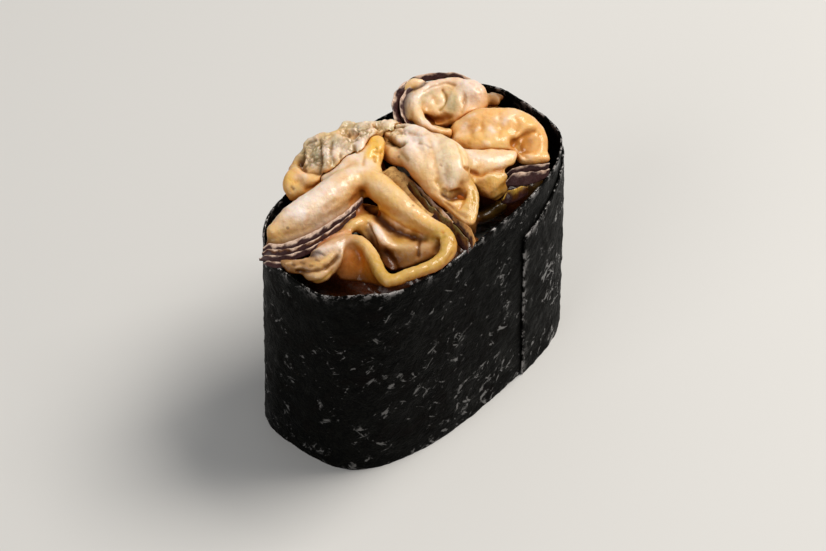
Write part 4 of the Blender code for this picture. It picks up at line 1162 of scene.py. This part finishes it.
def crinkle_at(x, y, z):
    """Creases of a damp sheet, from about -1 to 1: soft dents, crumpled ridges, a fine pucker."""
    place = Vector((x, y, z)) / MM
    dent = noise.noise(place * 0.16)
    slant = Vector((place.x + 0.5 * place.z, place.y + 0.5 * place.z, 0.45 * place.z))
    ridge = noise.ridged_multi_fractal(slant * 0.42, 0.9, 2.1, 4, 0.9, 1.8) - 1.0
    pucker = noise.noise(place * Vector((1.5, 1.5, 0.8)))
    return 0.5 * dent + 0.5 * ridge + 0.3 * pucker


def ragged_at(angle):
    """How far the rim is torn up or down there, from about -1 to 1."""
    tear = noise.noise(Vector((angle * 16, 3.1, 0)))
    return tear + 0.6 * noise.noise(Vector((angle * 55, 7.7, 0)))


def strip_top(angle):
    """The height of the strip's upper edge: the rim's, or the lap's where that is lower."""
    lap = np.clip((LAP_END - angle) / (LAP_END - LAP_START), 0, 1)
    rise = LAP_TOP + LAP_RISE * np.sin((1 - lap) * math.pi / 2) ** 0.8
    top = np.where(lap > 0, np.minimum(rise, rim_height(angle)), rim_height(angle))
    return top + RAGGED_RIM * np.array([ragged_at(a) for a in angle])


def outward_at(angle):
    """The level way out of the oval there."""
    ahead = np.stack(oval(angle + 1e-4), axis=1) - np.stack(oval(angle), axis=1)
    ahead /= np.linalg.norm(ahead, axis=1)[:, None]
    return np.stack([ahead[:, 1], -ahead[:, 0]], axis=1)


def make_nori(settings):
    """The strip from its outer cut end, once round the oval, and under its own lap."""
    length, _ = strip_angles(2)
    columns = round(length / settings.cell)
    nori, along, up = add_sheet(columns, round(BAND_HEIGHT / settings.cell))
    nori.name = nori.data.name = "nori_wrap"
    length, angles = strip_angles(columns + 1)
    angle = np.interp(along, np.linspace(0, 1, len(angles)), angles)
    top = strip_top(angle)
    height = SHEET_FOOT + up * top
    x, y = oval(angle)
    crinkle = np.array([crinkle_at(*place) for place in zip(x, y, height)])
    lean = SHOULDER_LEAN * shoulder(angle) * (height / top) ** 5
    stand = smoothstep(LAP_END + LAP_EASE / 2 - angle, 0, LAP_EASE) * LAP_STAND
    offset = -SHEET_INSET - lean + stand + WANDER * wander(angle, height)
    offset = offset + settings.crinkle * crinkle
    move_points(nori, np.c_[np.stack([x, y], axis=1) + outward_at(angle) * offset[:, None], height])
    # The rim: near the rim and the outer cut end, where glints are painted.
    rim = np.maximum(np.exp(-((top - height) / RIM_GLINT_REACH)), np.exp(-along * length / CUT_GLINT_REACH))
    store_values(nori, "rim", rim)
    # Painted highlight: more glints low down and on the band's right front.
    store_values(nori, "shine", np.cos(angle + 0.9) * 0.7 + 0.9 - height / (20 * MM))
    sheet = nori.data.attributes.new("sheet", "FLOAT_VECTOR", "POINT")
    places = np.stack([along * length, height, 0 * height], axis=1)
    sheet.data.foreach_set("vector", places.astype(np.float32).ravel())
    apply_modifier(nori, "SOLIDIFY", thickness=settings.thickness, offset=0.0)
    select_only(nori)
    bpy.ops.object.mode_set(mode="EDIT")
    bpy.ops.mesh.select_all(action="SELECT")
    bpy.ops.mesh.normals_make_consistent(inside=False)
    bpy.ops.object.mode_set(mode="OBJECT")
    finish_piece(nori, nori_material(settings), "nori", "nori_band")


# ---------------------------------------------------------------- the rice


CORE_INSET = 1.1 * MM
GRAINS_INSET = 3.1 * MM
WALL_INSET = 1.0 * MM
GRAIN_PLUMP = 0.12  # how much wider its one end is
GRAIN_BEND = 0.22
GRAIN_FLATNESS = 0.95  # its height as a share of its width
GRAIN_SWAY = 0.25  # how far it strays from its place, as a share of the spacing

# The layers of grains: the height they are measured from, the lowest and highest of their middles
# in half widths of a grain, and the start of their chance.
GRAIN_LAYERS = ((RICE_LOW.z, 0.75, 1.7, 4), (RICE_HIGH.z, -2.2, -1.35, 9))


def make_grain(settings):
    """One cooked grain, plumper at one end and bent a little."""
    bpy.ops.mesh.primitive_uv_sphere_add(segments=9, ring_count=7, radius=1)
    grain = bpy.context.active_object
    points = points_of(grain)[:, [2, 0, 1]]
    plump = 1 + GRAIN_PLUMP * points[:, 0]
    points[:, 1] *= plump
    points[:, 2] = points[:, 2] * plump + GRAIN_BEND * points[:, 0] ** 2
    width = settings.grain_width
    half = np.array([settings.grain_length, width, width * GRAIN_FLATNESS]) / 2
    move_points(grain, points * half)
    return grain


def scatter_grains(grain, settings, low, high, seed):
    """Copies of the grain over the oval between two heights, each turned its own way."""
    chance = np.random.default_rng(seed)
    copies = []
    reach = int(BAND_HALF_LENGTH / settings.spacing) + 2
    for i in range(-reach, reach + 1):
        for j in range(-reach, reach + 1):
            x = (i + 0.5 * (j % 2) + chance.uniform(-GRAIN_SWAY, GRAIN_SWAY)) * settings.spacing
            y = (j * 0.87 + chance.uniform(-GRAIN_SWAY, GRAIN_SWAY)) * settings.spacing
            if oval_share(x, y, GRAINS_INSET) > 1:
                continue
            turn = Matrix.Rotation(chance.uniform(0, math.tau), 4, "Z")
            tilt = Matrix.Rotation(math.radians(chance.uniform(-22, 22)), 4, "Y")
            size = Matrix.Diagonal((chance.uniform(0.85, 1.08), chance.uniform(0.9, 1.08), 1, 1))
            copy = twin(grain, "grain")
            place = Matrix.Translation((x, y, chance.uniform(low, high)))
            copy.data.transform(place @ turn @ tilt @ size)
            copies.append(copy)
    return copies


def make_rice(settings):
    """A smaller core of the pressed rice, and grains pressed into its underside and its top."""
    material = rice_material(settings)
    core = twin(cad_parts["rice"], "rice_core")
    select_only(core)
    bpy.ops.object.mode_set(mode="EDIT")
    bpy.ops.mesh.select_all(action="SELECT")
    bpy.ops.mesh.remove_doubles(threshold=1e-6)
    bpy.ops.transform.shrink_fatten(value=-CORE_INSET)
    bpy.ops.object.mode_set(mode="OBJECT")
    finish_piece(core, material, "rice", "rice")
    deselect()
    grain = make_grain(settings)
    half = settings.grain_width / 2
    copies = []
    for level, low, high, seed in GRAIN_LAYERS:
        copies += scatter_grains(grain, settings, level + low * half, level + high * half, seed)
    bpy.data.objects.remove(grain)
    grains = join(copies, "rice_grains")
    points = points_of(grains)
    points[:, 2] = np.clip(points[:, 2], RICE_LOW.z + 0.02 * MM, RICE_HIGH.z + 0.1 * MM)
    share = oval_share(points[:, 0], points[:, 1], WALL_INSET)
    shrink = np.where(share > 1, share ** (-1 / OVAL_POWER), 1.0)
    points[:, :2] *= shrink[:, None]
    move_points(grains, points)
    finish_piece(grains, material, "rice")


# ---------------------------------------------------------------- the mussels' shapes


LEAF_CELL = 0.3 * MM
JOIN_VOXEL = 0.26 * MM
ROOM_VOXEL = 0.36 * MM
ROOM_GAP = 0.1 * MM
WALL_GAP = 0.35 * MM
RIM_GAP = 0.3 * MM

# The clouds that wrinkle the flesh: their name, size, depth, and height in wrinkles.
WRINKLES = (("soft", 1.9 * MM, 2, 2), ("small", 0.75 * MM, 3, 1))

# The small lumps of the curd, in millimetres: how many to one, how far their seams wander, how wide
# the clefts between them are, and how softly the curd ends.
CURD_SCALE = 1.25
CURD_WARP = 0.5
CURD_SEAM = 0.45
CURD_EDGE = 0.7
CURD_FACING = -0.3  # a point whose normal falls more steeply has none
CURD_SEED = 1  # without it, noise_vector starts from the clock and no two runs are alike

# A stroke's line, in millimetres: the steps along it, and where it is cast from and how far.
STROKE_STEP = 0.12
CAST_START = 30
CAST_REACH = 42


def add_path(rows):
    """A smooth curve through the rows' points, as thick as their last values, made into a mesh."""
    bpy.ops.curve.primitive_bezier_curve_add()
    path = bpy.context.active_object
    spline = path.data.splines[0]
    spline.bezier_points.add(len(rows) - 2)
    for point, (x, y, z, radius) in zip(spline.bezier_points, rows):
        point.co = Vector((x, y, z)) * MM
        point.handle_left_type = point.handle_right_type = "AUTO"
        point.radius = radius
    spline.resolution_u = 10
    spline.radius_interpolation = "CARDINAL"
    path.data.twist_mode = "Z_UP"
    path.data.bevel_depth = MM
    path.data.bevel_resolution = 5
    path.data.use_fill_caps = True
    bpy.ops.object.convert(target="MESH")
    return path


def add_ball(centre, half_sizes):
    place, size = Vector(centre) * MM, Vector(half_sizes) * MM
    bpy.ops.mesh.primitive_uv_sphere_add(
        segments=32, ring_count=20, radius=1, location=place, scale=size
    )
    return bpy.context.active_object


def add_lobe(rows):
    ends = [add_ball(row[:3], [row[3]] * 3) for row in (rows[0], rows[-1])]
    return [add_path(rows), *ends]


def add_leaf(rows, half, swell):
    """A skin between its two edges, swelling towards the slant."""
    rails = np.array(rows) * MM
    length = np.linalg.norm(np.diff(rails, axis=0), axis=1).sum() / 2
    leaf, along, across = add_sheet(max(8, round(length / LEAF_CELL)), 16)
    points, face = strip_between(rails, along, across, 0.02)
    if (face @ np.array(SLANT)).mean() < 0:
        face = -face
    points += face * (swell * MM * np.sin(math.pi * across))[:, None]
    move_points(leaf, points)
    apply_modifier(leaf, "SOLIDIFY", thickness=2 * half * MM, offset=0.0)
    return leaf


def draw_together(piece, reach):
    """Makes one skin of the parts, drawn over the clefts that are narrower than twice the reach."""
    apply_modifier(piece, "REMESH", mode="VOXEL", voxel_size=JOIN_VOXEL)
    apply_modifier(piece, "DISPLACE", strength=reach, mid_level=0.0)
    apply_modifier(piece, "REMESH", mode="VOXEL", voxel_size=JOIN_VOXEL)
    apply_modifier(piece, "SMOOTH", factor=0.5, iterations=4)
    apply_modifier(piece, "DISPLACE", strength=-reach, mid_level=0.0)
    apply_modifier(piece, "REMESH", mode="VOXEL", voxel_size=JOIN_VOXEL)


def keep_in_band(piece):
    """Flesh that would pass through the band is pushed back inside it."""
    points = points_of(piece)
    share = oval_share(points[:, 0], points[:, 1], WALL + WALL_GAP)
    angle = np.arctan2(points[:, 1] / BAND_HALF_WIDTH, points[:, 0] / BAND_HALF_LENGTH)
    low = points[:, 2] < rim_height(angle) + RIM_GAP
    shrink = np.where((share > 1) & low, share ** (-1 / OVAL_POWER), 1.0)
    points[:, :2] *= shrink[:, None]
    move_points(piece, points)


def cut_at_floor(piece):
    """What lies below the top of the rice is cut off."""
    floor = (0, 0, MUSSEL_FLOOR)
    select_only(piece)
    bpy.ops.object.mode_set(mode="EDIT")
    bpy.ops.mesh.select_all(action="SELECT")
    bpy.ops.mesh.bisect(
        plane_co=floor, plane_no=(0, 0, 1), use_fill=True, clear_inner=True, threshold=1e-7
    )
    bpy.ops.object.mode_set(mode="OBJECT")


def keep_largest(piece):
    """Drops the crumbs that a cut may leave beside the main body."""
    shape = bmesh.new()
    shape.from_mesh(piece.data)
    left, bodies = set(shape.verts), []
    while left:
        body, edge = set(), {next(iter(left))}
        while edge:
            body |= edge
            edge = {link.other_vert(vert) for vert in edge for link in vert.link_edges} - body
        left -= body
        bodies.append(body)
    bodies.sort(key=len)
    crumbs = [vert for body in bodies[:-1] for vert in body]
    bmesh.ops.delete(shape, geom=crumbs, context="VERTS")
    shape.to_mesh(piece.data)
    shape.free()


def leave_room(piece, made):
    """Cuts away what would pass through the mussels that are made already."""
    for other in made:
        room = twin(other, "room")
        apply_modifier(room, "REMESH", mode="VOXEL", voxel_size=ROOM_VOXEL)
        apply_modifier(room, "DISPLACE", strength=ROOM_GAP, mid_level=0.0)
        apply_modifier(piece, "BOOLEAN", operation="DIFFERENCE", object=room)
        bpy.data.objects.remove(room)


def wrinkle(piece, node, height):
    for name, size, depth, share in WRINKLES:
        clouds = bpy.data.textures.new(f"{node}_{name}", "CLOUDS")
        clouds.noise_scale, clouds.noise_depth = size, depth
        settings = {"strength": share * height, "texture": clouds, "texture_coords": "LOCAL"}
        apply_modifier(piece, "DISPLACE", mid_level=0.5, **settings)


def stroke_marks(piece, rows):
    """Where the stroke's line meets the piece, seen along the slant."""
    length = np.linalg.norm(np.diff(np.array(rows), axis=0), axis=1).sum()
    marks = []
    for x, y in smooth_rows(rows, np.linspace(0, 1, max(2, round(length / STROKE_STEP)))):
        start = Vector((x * MM, y * MM, STROKE_HEIGHT)) + SLANT * CAST_START * MM
        met, place, _, _ = piece.ray_cast(start, -SLANT, distance=CAST_REACH * MM)
        if met:
            marks.append(place)
    return np.array(marks).reshape(-1, 3)


def stroke_share(points, marks, width):
    """How much of the stroke is on each point, from 0 to 1. It is wider here and narrower there."""
    share = np.zeros(len(points))
    if not len(marks):
        return share
    low, high = marks.min(axis=0) - 3.2 * width, marks.max(axis=0) + 3.2 * width
    near = np.nonzero(((points > low) & (points < high)).all(axis=1))[0]
    found = np.zeros(len(near))
    for mark in marks:
        here = width * (1 + 0.55 * noise.noise(Vector(mark) * 1100))
        away = ((points[near] - mark) ** 2).sum(axis=1)
        found = np.maximum(found, np.exp(-away / here**2))
    share[near] = found
    return share


def draw_strokes(piece, strokes):
    """Presses the strokes in, and gives each one's share of every point."""
    shares = []
    for _, _, depth, width, rows in strokes:
        points, normals = points_of(piece), normals_of(piece)
        share = stroke_share(points, stroke_marks(piece, rows), width * MM)
        move_points(piece, points - normals * (share * depth * MM)[:, None])
        shares.append(share)
    return shares


def blurred(values, edges, turns):
    """Values after each vertex has turned towards its neighbours' mean that many times."""
    values = values.copy()
    first, second = edges.T
    count = np.bincount(edges.ravel(), minlength=len(values)).astype(float)[:, None]
    for _ in range(turns):
        total = np.empty_like(values)
        for column, value in enumerate(values.T):
            total[:, column] = np.bincount(first, value[second], len(values))
            total[:, column] += np.bincount(second, value[first], len(values))
        values = 0.5 * values + 0.5 * total / count
    return values


def crease_depth(piece, turns):
    """In metres, how far each point lies in a crease, or, below 0, stands out on a ridge."""
    points = points_of(piece)
    away = blurred(points, edges_of(piece), turns) - points
    return np.einsum("ij,ij->i", away, normals_of(piece))


def shades(tints, settings, count):
    """The tints' colours, spread evenly over that many places."""
    colours = np.array([getattr(settings, tint)[:] for tint in tints.split()])
    places, own = np.linspace(0, 1, count), np.linspace(0, 1, len(colours))
    return np.array([np.interp(places, own, part) for part in colours.T]).T


def part_samples(plan, settings):
    """Balls along the mussel's parts: x, y, z, radius, and the three values of its colour."""
    samples = []
    for tints, rows in plan["lobes"]:
        count = 7 * len(rows)
        balls = smooth_rows(rows, np.linspace(0, 1, count))
        samples += [(*ball, *shade) for ball, shade in zip(balls, shades(tints, settings, count))]
    for tints, half, _, rows in plan["leaves"]:
        count = 7 * len(rows)
        first, second = (shades(side, settings, count) for side in tints.split("/"))
        for row, near, far in zip(smooth_rows(rows, np.linspace(0, 1, count)), first, second):
            for share in np.linspace(0, 1, 7):
                place = row[:3] + (row[3:] - row[:3]) * share
                samples.append((*place, half, *(near + (far - near) * share)))
    for tint, centre, half_sizes in plan["pillows"]:
        small = min(half_sizes)
        spread = np.array(half_sizes) - small
        for way in product((-1, -0.5, 0, 0.5, 1), (-1, -0.5, 0, 0.5, 1), (-1, 0, 1)):
            if sum(share * share for share in way) < 1.3:
                place = np.array(centre) + spread * way
                samples.append((*place, small, *getattr(settings, tint)[:]))
    return samples


# In millimetres: how softly one part's tint runs into the next, and how deep in a part counts.
TINT_BLEND = 0.3
TINT_DEPTH = 1.5

# Tints that drift over the bright flesh: which, how much at most, how finely, and the start of
# their noise.
DRIFTS = (("pearl", 0.6, 0.33, 3.0), ("straw", 0.3, 0.42, 17.0), ("blush", 0.35, 0.8, 31.0))

# Painted shade in a crease is fullest at that depth, and the painted highlight on a ridge at that
# height. It is looked for over so many turns of blur. The gills' clefts take moss: their own dark
# green and painted shade.
FULL_CREASE = 0.09 * MM
CREASE_TURNS = 12
RIDGE_HIGHLIGHT = 0.22
CLEFT_MOSS = 0.75

# Painted shade: what is left of red, green and blue in a crease and at the foot of the heap, and
# how fast each fades with shelter from the sky.
CREASE_SHADE = np.array((0.62, 0.40, 0.22))
FOOT_SHADE = np.array((0.34, 0.26, 0.22))
FOOT_LEVELS = (-31.8, -29)
SHELTER_SHADE = np.array((0.6, 1.5, 3.0))
OPEN_ENOUGH = 0.92
SHEEN_SHADING = 1.6  # how fast the coat's sheen fades with shelter: painted shade on the sheen


def part_tints(points, plan, settings):
    """Every point's colour, from the parts that are nearest to it."""
    here = points / MM
    total = np.zeros((len(points), 3))
    weight = np.full(len(points), 1e-12)
    for x, y, z, radius, *colour in part_samples(plan, settings):
        away = np.sqrt(((here - (x, y, z)) ** 2).sum(axis=1)) - radius
        share = np.exp(-np.maximum(away, -TINT_DEPTH) / TINT_BLEND)
        total += share[:, None] * colour
        weight += share
    return total / weight[:, None]


# Ways up to the sky, spread evenly over it, and how far along them a shelter counts.
SKY_TURN = 2.4
SKY = [
    Vector((math.cos(turn) * math.sqrt(1 - z * z), math.sin(turn) * math.sqrt(1 - z * z), z))
    for turn, z in ((SKY_TURN * k, z) for k, z in enumerate(np.linspace(0.97, 0.06, 26)))
]
SHELTER_REACH = 6 * MM
SHELTER_TURNS = 3
FACING_DOWN = -0.35  # a point whose normal falls more steeply sees no sky
GRAZING = 0.05  # a way that lies flatter to the surface counts for nothing


def openness(piece, tree):
    """How much sky each point sees: 1 on an open top, about a half on an open side, 0 in a hole."""
    points, normals = points_of(piece), normals_of(piece)
    weights = normals @ np.array(SKY).T
    seen = np.zeros(len(points))
    for k in np.nonzero(normals[:, 2] > FACING_DOWN)[0]:
        start = Vector(points[k] + normals[k] * 0.1 * MM)
        for way, weight in zip(SKY, weights[k]):
            if weight > GRAZING and tree.ray_cast(start, way, SHELTER_REACH)[0] is None:
                seen[k] += weight
    whole = sum(way.z for way in SKY)
    return blurred(seen[:, None] / whole, edges_of(piece), SHELTER_TURNS)[:, 0]


def mix_in(tint, colour, share):
    """Draws every point's colour towards another one, by its own share."""
    tint += (np.array(colour) - tint) * share[:, None]


def paint_flesh(piece, plan, settings, clefts, shares, tree):
    """Every point's tint: its part's own, painted shade in hollows and creases, painted highlight on
    ridges.
    """
    points = points_of(piece)
    tint = part_tints(points, plan, settings)
    bright = smoothstep(tint.max(axis=1), 0.35, 0.7)
    bright = bright * smoothstep(tint[:, 2] / tint[:, 0], 0.08, 0.35)
    for name, most, size, start in DRIFTS:
        origin = Vector((start, 0, 0))
        drift = np.array([noise.noise(Vector(point) * size / MM + origin) for point in points])
        mix_in(tint, getattr(settings, name), most * smoothstep(drift, 0.0, 0.5) * bright)
    fine = np.clip(crease_depth(piece, CREASE_TURNS) / FULL_CREASE, -1, 1)
    # Painted highlight: ridges drawn towards pearl.
    pale = -RIDGE_HIGHLIGHT * np.minimum(fine, 0) * smoothstep(tint.max(axis=1), 0.15, 0.5)
    mix_in(tint, settings.pearl, pale)
    # Moss in the gills' clefts: their own dark green and painted shade.
    mix_in(tint, settings.moss, CLEFT_MOSS * clefts)
    # The strokes' tints, many of them painted shade and painted highlights.
    for (name, strength, *_), share in zip(plan["strokes"], shares):
        mix_in(tint, getattr(settings, name), share * strength)
    # Painted shade in the creases.
    tint *= 1 - 0.5 * np.maximum(fine, 0)[:, None] * (1 - CREASE_SHADE)
    # Painted shade where the heap shelters a point from the sky.
    shelter = np.clip((OPEN_ENOUGH - openness(piece, tree)) / OPEN_ENOUGH, 0, 1) ** 1.25
    tint *= np.exp(-shelter[:, None] * SHELTER_SHADE)
    # Painted shade, darker towards the foot of the heap.
    deep = smoothstep(-points[:, 2] / MM, *FOOT_LEVELS)
    tint *= 1 - deep[:, None] * (1 - FOOT_SHADE)
    store_tint(piece, tint)
    # The coat's sheen fades with shelter: painted shade on the sheen.
    store_values(piece, "wet", np.clip(1 - SHEEN_SHADING * shelter, 0, 1))


def part_curd(piece, places, depth):
    """Parts the surface into small lumps, and gives how deep between them each point lies."""
    points, normals = points_of(piece), normals_of(piece)
    near = np.zeros(len(points))
    for x, y, radius in places:
        away = np.hypot(points[:, 0] / MM - x, points[:, 1] / MM - y)
        near = np.maximum(near, smoothstep(-away, -radius - CURD_EDGE, -radius + CURD_EDGE))
    clefts = np.zeros(len(points))
    noise.seed_set(CURD_SEED)
    for k in np.nonzero((near > 0) & (normals[:, 2] > CURD_FACING))[0]:
        place = Vector(points[k]) / MM
        strayed = place + CURD_WARP * noise.noise_vector(place)
        first, second, _, _ = noise.voronoi(strayed * CURD_SCALE)[0]
        seam = max(0, 1 - (second - first) / CURD_SEAM)
        clefts[k] = near[k] * seam * (0.6 + 0.8 * noise.noise(place * 0.8))
    clefts = np.clip(clefts, 0, 1)
    move_points(piece, points - normals * (clefts * depth)[:, None])
    return clefts


def make_mussel(node, settings, made):
    """The mussel's shape, with how deep every point lies in its curd and in each stroke."""
    plan = MUSSELS[node]
    parts = []
    for _, rows in plan["lobes"]:
        parts += add_lobe(rows)
    for _, half, swell, rows in plan["leaves"]:
        parts.append(add_leaf(rows, half, swell))
    for _, centre, half_sizes in plan["pillows"]:
        parts.append(add_ball(centre, half_sizes))
    piece = join(parts, node + "_flesh")
    bpy.ops.object.transform_apply(location=True, rotation=True, scale=True)
    draw_together(piece, plan["reach"] * MM)
    keep_in_band(piece)
    cut_at_floor(piece)
    leave_room(piece, made)
    apply_modifier(piece, "REMESH", mode="VOXEL", voxel_size=settings.voxel)
    apply_modifier(piece, "SMOOTH", factor=0.5, iterations=3)
    keep_largest(piece)
    wrinkle(piece, node, settings.wrinkle)
    clefts = part_curd(piece, plan["curd"], settings.curd)
    shares = draw_strokes(piece, plan["strokes"])
    apply_modifier(piece, "SMOOTH", factor=0.4, iterations=1)
    return piece, clefts, shares


def make_mussels(settings):
    """Every mussel's shape first, and then their paint, with the painted shade they cast on each
    other.
    """
    made = {}
    for node in MUSSELS:
        deselect()
        made[node] = make_mussel(node, settings, [piece for piece, *_ in made.values()])
    heap = join([twin(piece, "heap") for piece, *_ in made.values()], "heap")
    tree = BVHTree.FromObject(heap, bpy.context.evaluated_depsgraph_get())
    bpy.data.objects.remove(heap)
    material = flesh_material()
    for node, (piece, clefts, shares) in made.items():
        paint_flesh(piece, MUSSELS[node], settings, clefts, shares, tree)
        finish_piece(piece, material, MUSSELS[node]["slot"], node)


FRILL_CELL = 0.16 * MM
FRILL_ROWS = 9
FRILL_THICKNESS = 0.22 * MM
FRILL_THINNING = 0.75  # how much of its thickness is gone at its free edge
FRILL_SHADES = 50  # steps of colour from its root to its free edge

# In millimetres from its first end, how far a strip is narrower, and its width there as a share.
FRILL_TAPER = 1.1
FRILL_NARROWEST = 0.4

# Patches that break up its colours: their length in millimetres, their strength, and the start of
# their noise.
FRILL_MOTTLE = ((1.4, 0.3, 9), (0.75, 0.28, 3), (0.4, 0.16, 5))


def noise_at(place, size, start):
    """Noise at a place on a strip, from about -1 to 1, in patches twice as long as wide."""
    return noise.noise(Vector((place[0] / size, 2 * place[1] / size, start)))


def make_frill(name, settings, material):
    """A ruffled strip from its root to its free edge, on which its waves are widest."""
    plan = FRILLS[name]
    rows = np.array(plan["rows"]) * MM
    middle = (rows[:, :3] + rows[:, 3:]) / 2
    length = np.linalg.norm(np.diff(middle, axis=0), axis=1).sum()
    own = length / MM  # its own start for every noise, so that no two strips are alike
    deselect()
    strip, along, across = add_sheet(round(length / FRILL_CELL), FRILL_ROWS)
    strip.name = strip.data.name = name
    reached = along * length / MM
    ragged = np.array([0.14 * noise.noise(Vector((s * 1.1, 5.0, own))) for s in reached])
    narrow = FRILL_NARROWEST + (1 - FRILL_NARROWEST) * smoothstep(reached, 0, FRILL_TAPER)
    points, face = strip_between(rows, along, across * (1 + ragged) * narrow, 0.01)
    drift = np.array([2.2 * noise.noise(Vector((s * 0.45, 1.0, own))) for s in reached])
    wave = np.sin(reached * math.tau / plan["wave"] + drift)
    wave = wave + 0.3 * np.sin(reached * 9 / plan["wave"] + 2 * drift)
    points += face * (plan["ruffle"] * MM * across**1.2 * wave)[:, None]
    move_points(strip, points)
    level = across.copy()
    for size, strength, start in FRILL_MOTTLE:
        level += [strength * noise_at(place, size, start) for place in zip(reached, across)]
    last = FRILL_SHADES - 1
    step = np.clip(np.rint(level * last), 0, last).astype(int)
    store_tint(strip, shades(plan["tints"], settings, FRILL_SHADES)[step])
    body = strip.vertex_groups.new(name="body")
    for k, share in enumerate(across):
        body.add([k], 1 - FRILL_THINNING * share**2, "REPLACE")
    apply_modifier(strip, "SOLIDIFY", thickness=FRILL_THICKNESS, offset=0.0, vertex_group="body")
    finish_piece(strip, material, plan["slot"])


# ---------------------------------------------------------------- the stage


def aim(thing, target):
    thing.rotation_euler = (Vector(target) - thing.location).to_track_quat("-Z", "Y").to_euler()


def add_light(name, place, target, size, power, colour):
    bpy.ops.object.light_add(type="AREA", location=place)
    light = bpy.context.active_object
    light.name = name
    light.data.size = size
    light.data.energy = power
    light.data.color = colour
    aim(light, target)


VIEW_HEIGHT = math.radians(45.2)
VIEW_DISTANCE = 0.9
VIEW_WIDTH = 113.931 * MM  # how much the camera takes in from side to side, at the object's middle
SENSOR_WIDTH = 36

FLOOR_COLOUR = (0.66, 0.65, 0.63, 1)
STUDIO_COLOUR = (0.85, 0.88, 0.92, 1)

# Each soft lamp: its turn from the camera's, its height as an angle, its distance, its size, its
# power and its colour.
LAMPS = {
    "key": (2.0, 1.0, 0.5, 0.26, 2.6, (1.0, 0.96, 0.90)),
    "fill": (-0.7, 0.6, 0.6, 0.35, 0.95, (1.0, 0.98, 0.95)),
}


def view_place(turn, height, distance, target):
    """The place that far from the target, turned about it and raised by those angles."""
    flat = Vector((math.sin(turn), -math.cos(turn), 0)) * math.cos(height)
    return Vector(target) + (flat + Vector((0, 0, math.sin(height)))) * distance


def make_stage():
    middle = Vector((0, 0, BAND_HEIGHT / 2))
    bpy.ops.mesh.primitive_plane_add(size=4)
    floor = bpy.context.active_object
    floor.name = "floor"
    material, nodes, shader = new_material("floor")
    nodes.feed_all(shader, Base_Color=FLOOR_COLOUR, Roughness=0.6)
    floor.data.materials.append(material)
    for name, (turn, height, distance, size, power, colour) in LAMPS.items():
        place = view_place(VIEW_TURN + turn, height, distance, middle)
        add_light(name, place, middle, size, power, colour)
    world = bpy.data.worlds.new("studio")
    world.use_nodes = True
    sky = world.node_tree.nodes["Background"]
    Nodes(world.node_tree).feed_all(sky, Color=STUDIO_COLOUR, Strength=0.25)
    bpy.context.scene.world = world
    bpy.context.scene.view_settings.view_transform = "Standard"
    place = view_place(VIEW_TURN, VIEW_HEIGHT, VIEW_DISTANCE, middle)
    bpy.ops.object.camera_add(location=place)
    camera = bpy.context.active_object
    camera.name = "camera"
    aim(camera, middle)
    camera.data.sensor_width = SENSOR_WIDTH
    camera.data.lens = camera.data.sensor_width * VIEW_DISTANCE / VIEW_WIDTH
    camera.data.clip_start = 0.01
    bpy.context.scene.camera = camera


# ---------------------------------------------------------------- operators


class GUNKAN_OT_nori(bpy.types.Operator):
    """Wrap the crinkled nori strip round the oval"""

    bl_idname = "gunkan.nori"
    bl_label = "Nori band"

    def execute(self, context):
        make_nori(context.scene.gunkan_nori)
        return {"FINISHED"}


class GUNKAN_OT_rice(bpy.types.Operator):
    """Fill the band with a rice core and its grains"""

    bl_idname = "gunkan.rice"
    bl_label = "Rice"

    def execute(self, context):
        make_rice(context.scene.gunkan_rice)
        return {"FINISHED"}


class GUNKAN_OT_mussels(bpy.types.Operator):
    """Heap the mussels in the top of the band"""

    bl_idname = "gunkan.mussels"
    bl_label = "Mussels"

    def execute(self, context):
        make_mussels(context.scene.gunkan_flesh)
        return {"FINISHED"}


class GUNKAN_OT_frills(bpy.types.Operator):
    """Add the dark ruffled edges of the mussels' mantles"""

    bl_idname = "gunkan.frills"
    bl_label = "Frills"

    def execute(self, context):
        material = frill_material()
        for name in FRILLS:
            make_frill(name, context.scene.gunkan_flesh, material)
        return {"FINISHED"}


class GUNKAN_OT_stage(bpy.types.Operator):
    """Add the floor, the lights and the camera"""

    bl_idname = "gunkan.stage"
    bl_label = "Stage"

    def execute(self, context):
        make_stage()
        return {"FINISHED"}


class GUNKAN_PT_panel(bpy.types.Panel):
    bl_label = "Mussel gunkan"
    bl_idname = "GUNKAN_PT_panel"
    bl_space_type = "VIEW_3D"
    bl_region_type = "UI"
    bl_category = "Gunkan"

    def draw(self, context):
        for operator in OPERATORS:
            self.layout.operator(operator.bl_idname)


SETTINGS = {
    "gunkan_nori": GunkanNori,
    "gunkan_rice": GunkanRice,
    "gunkan_flesh": GunkanFlesh,
}
OPERATORS = (
    GUNKAN_OT_nori,
    GUNKAN_OT_rice,
    GUNKAN_OT_mussels,
    GUNKAN_OT_frills,
    GUNKAN_OT_stage,
)
CLASSES = (*SETTINGS.values(), *OPERATORS, GUNKAN_PT_panel)


def register():
    for kind in CLASSES:
        bpy.utils.register_class(kind)
    for name, group in SETTINGS.items():
        setattr(bpy.types.Scene, name, bpy.props.PointerProperty(type=group))


def unregister():
    for name in SETTINGS:
        delattr(bpy.types.Scene, name)
    for kind in CLASSES:
        bpy.utils.unregister_class(kind)


def main():
    register()
    deselect()
    gunkan = bpy.ops.gunkan
    for operator in (gunkan.nori, gunkan.rice, gunkan.mussels, gunkan.frills, gunkan.stage):
        operator()
        deselect()


if __name__ == "__main__":
    main()
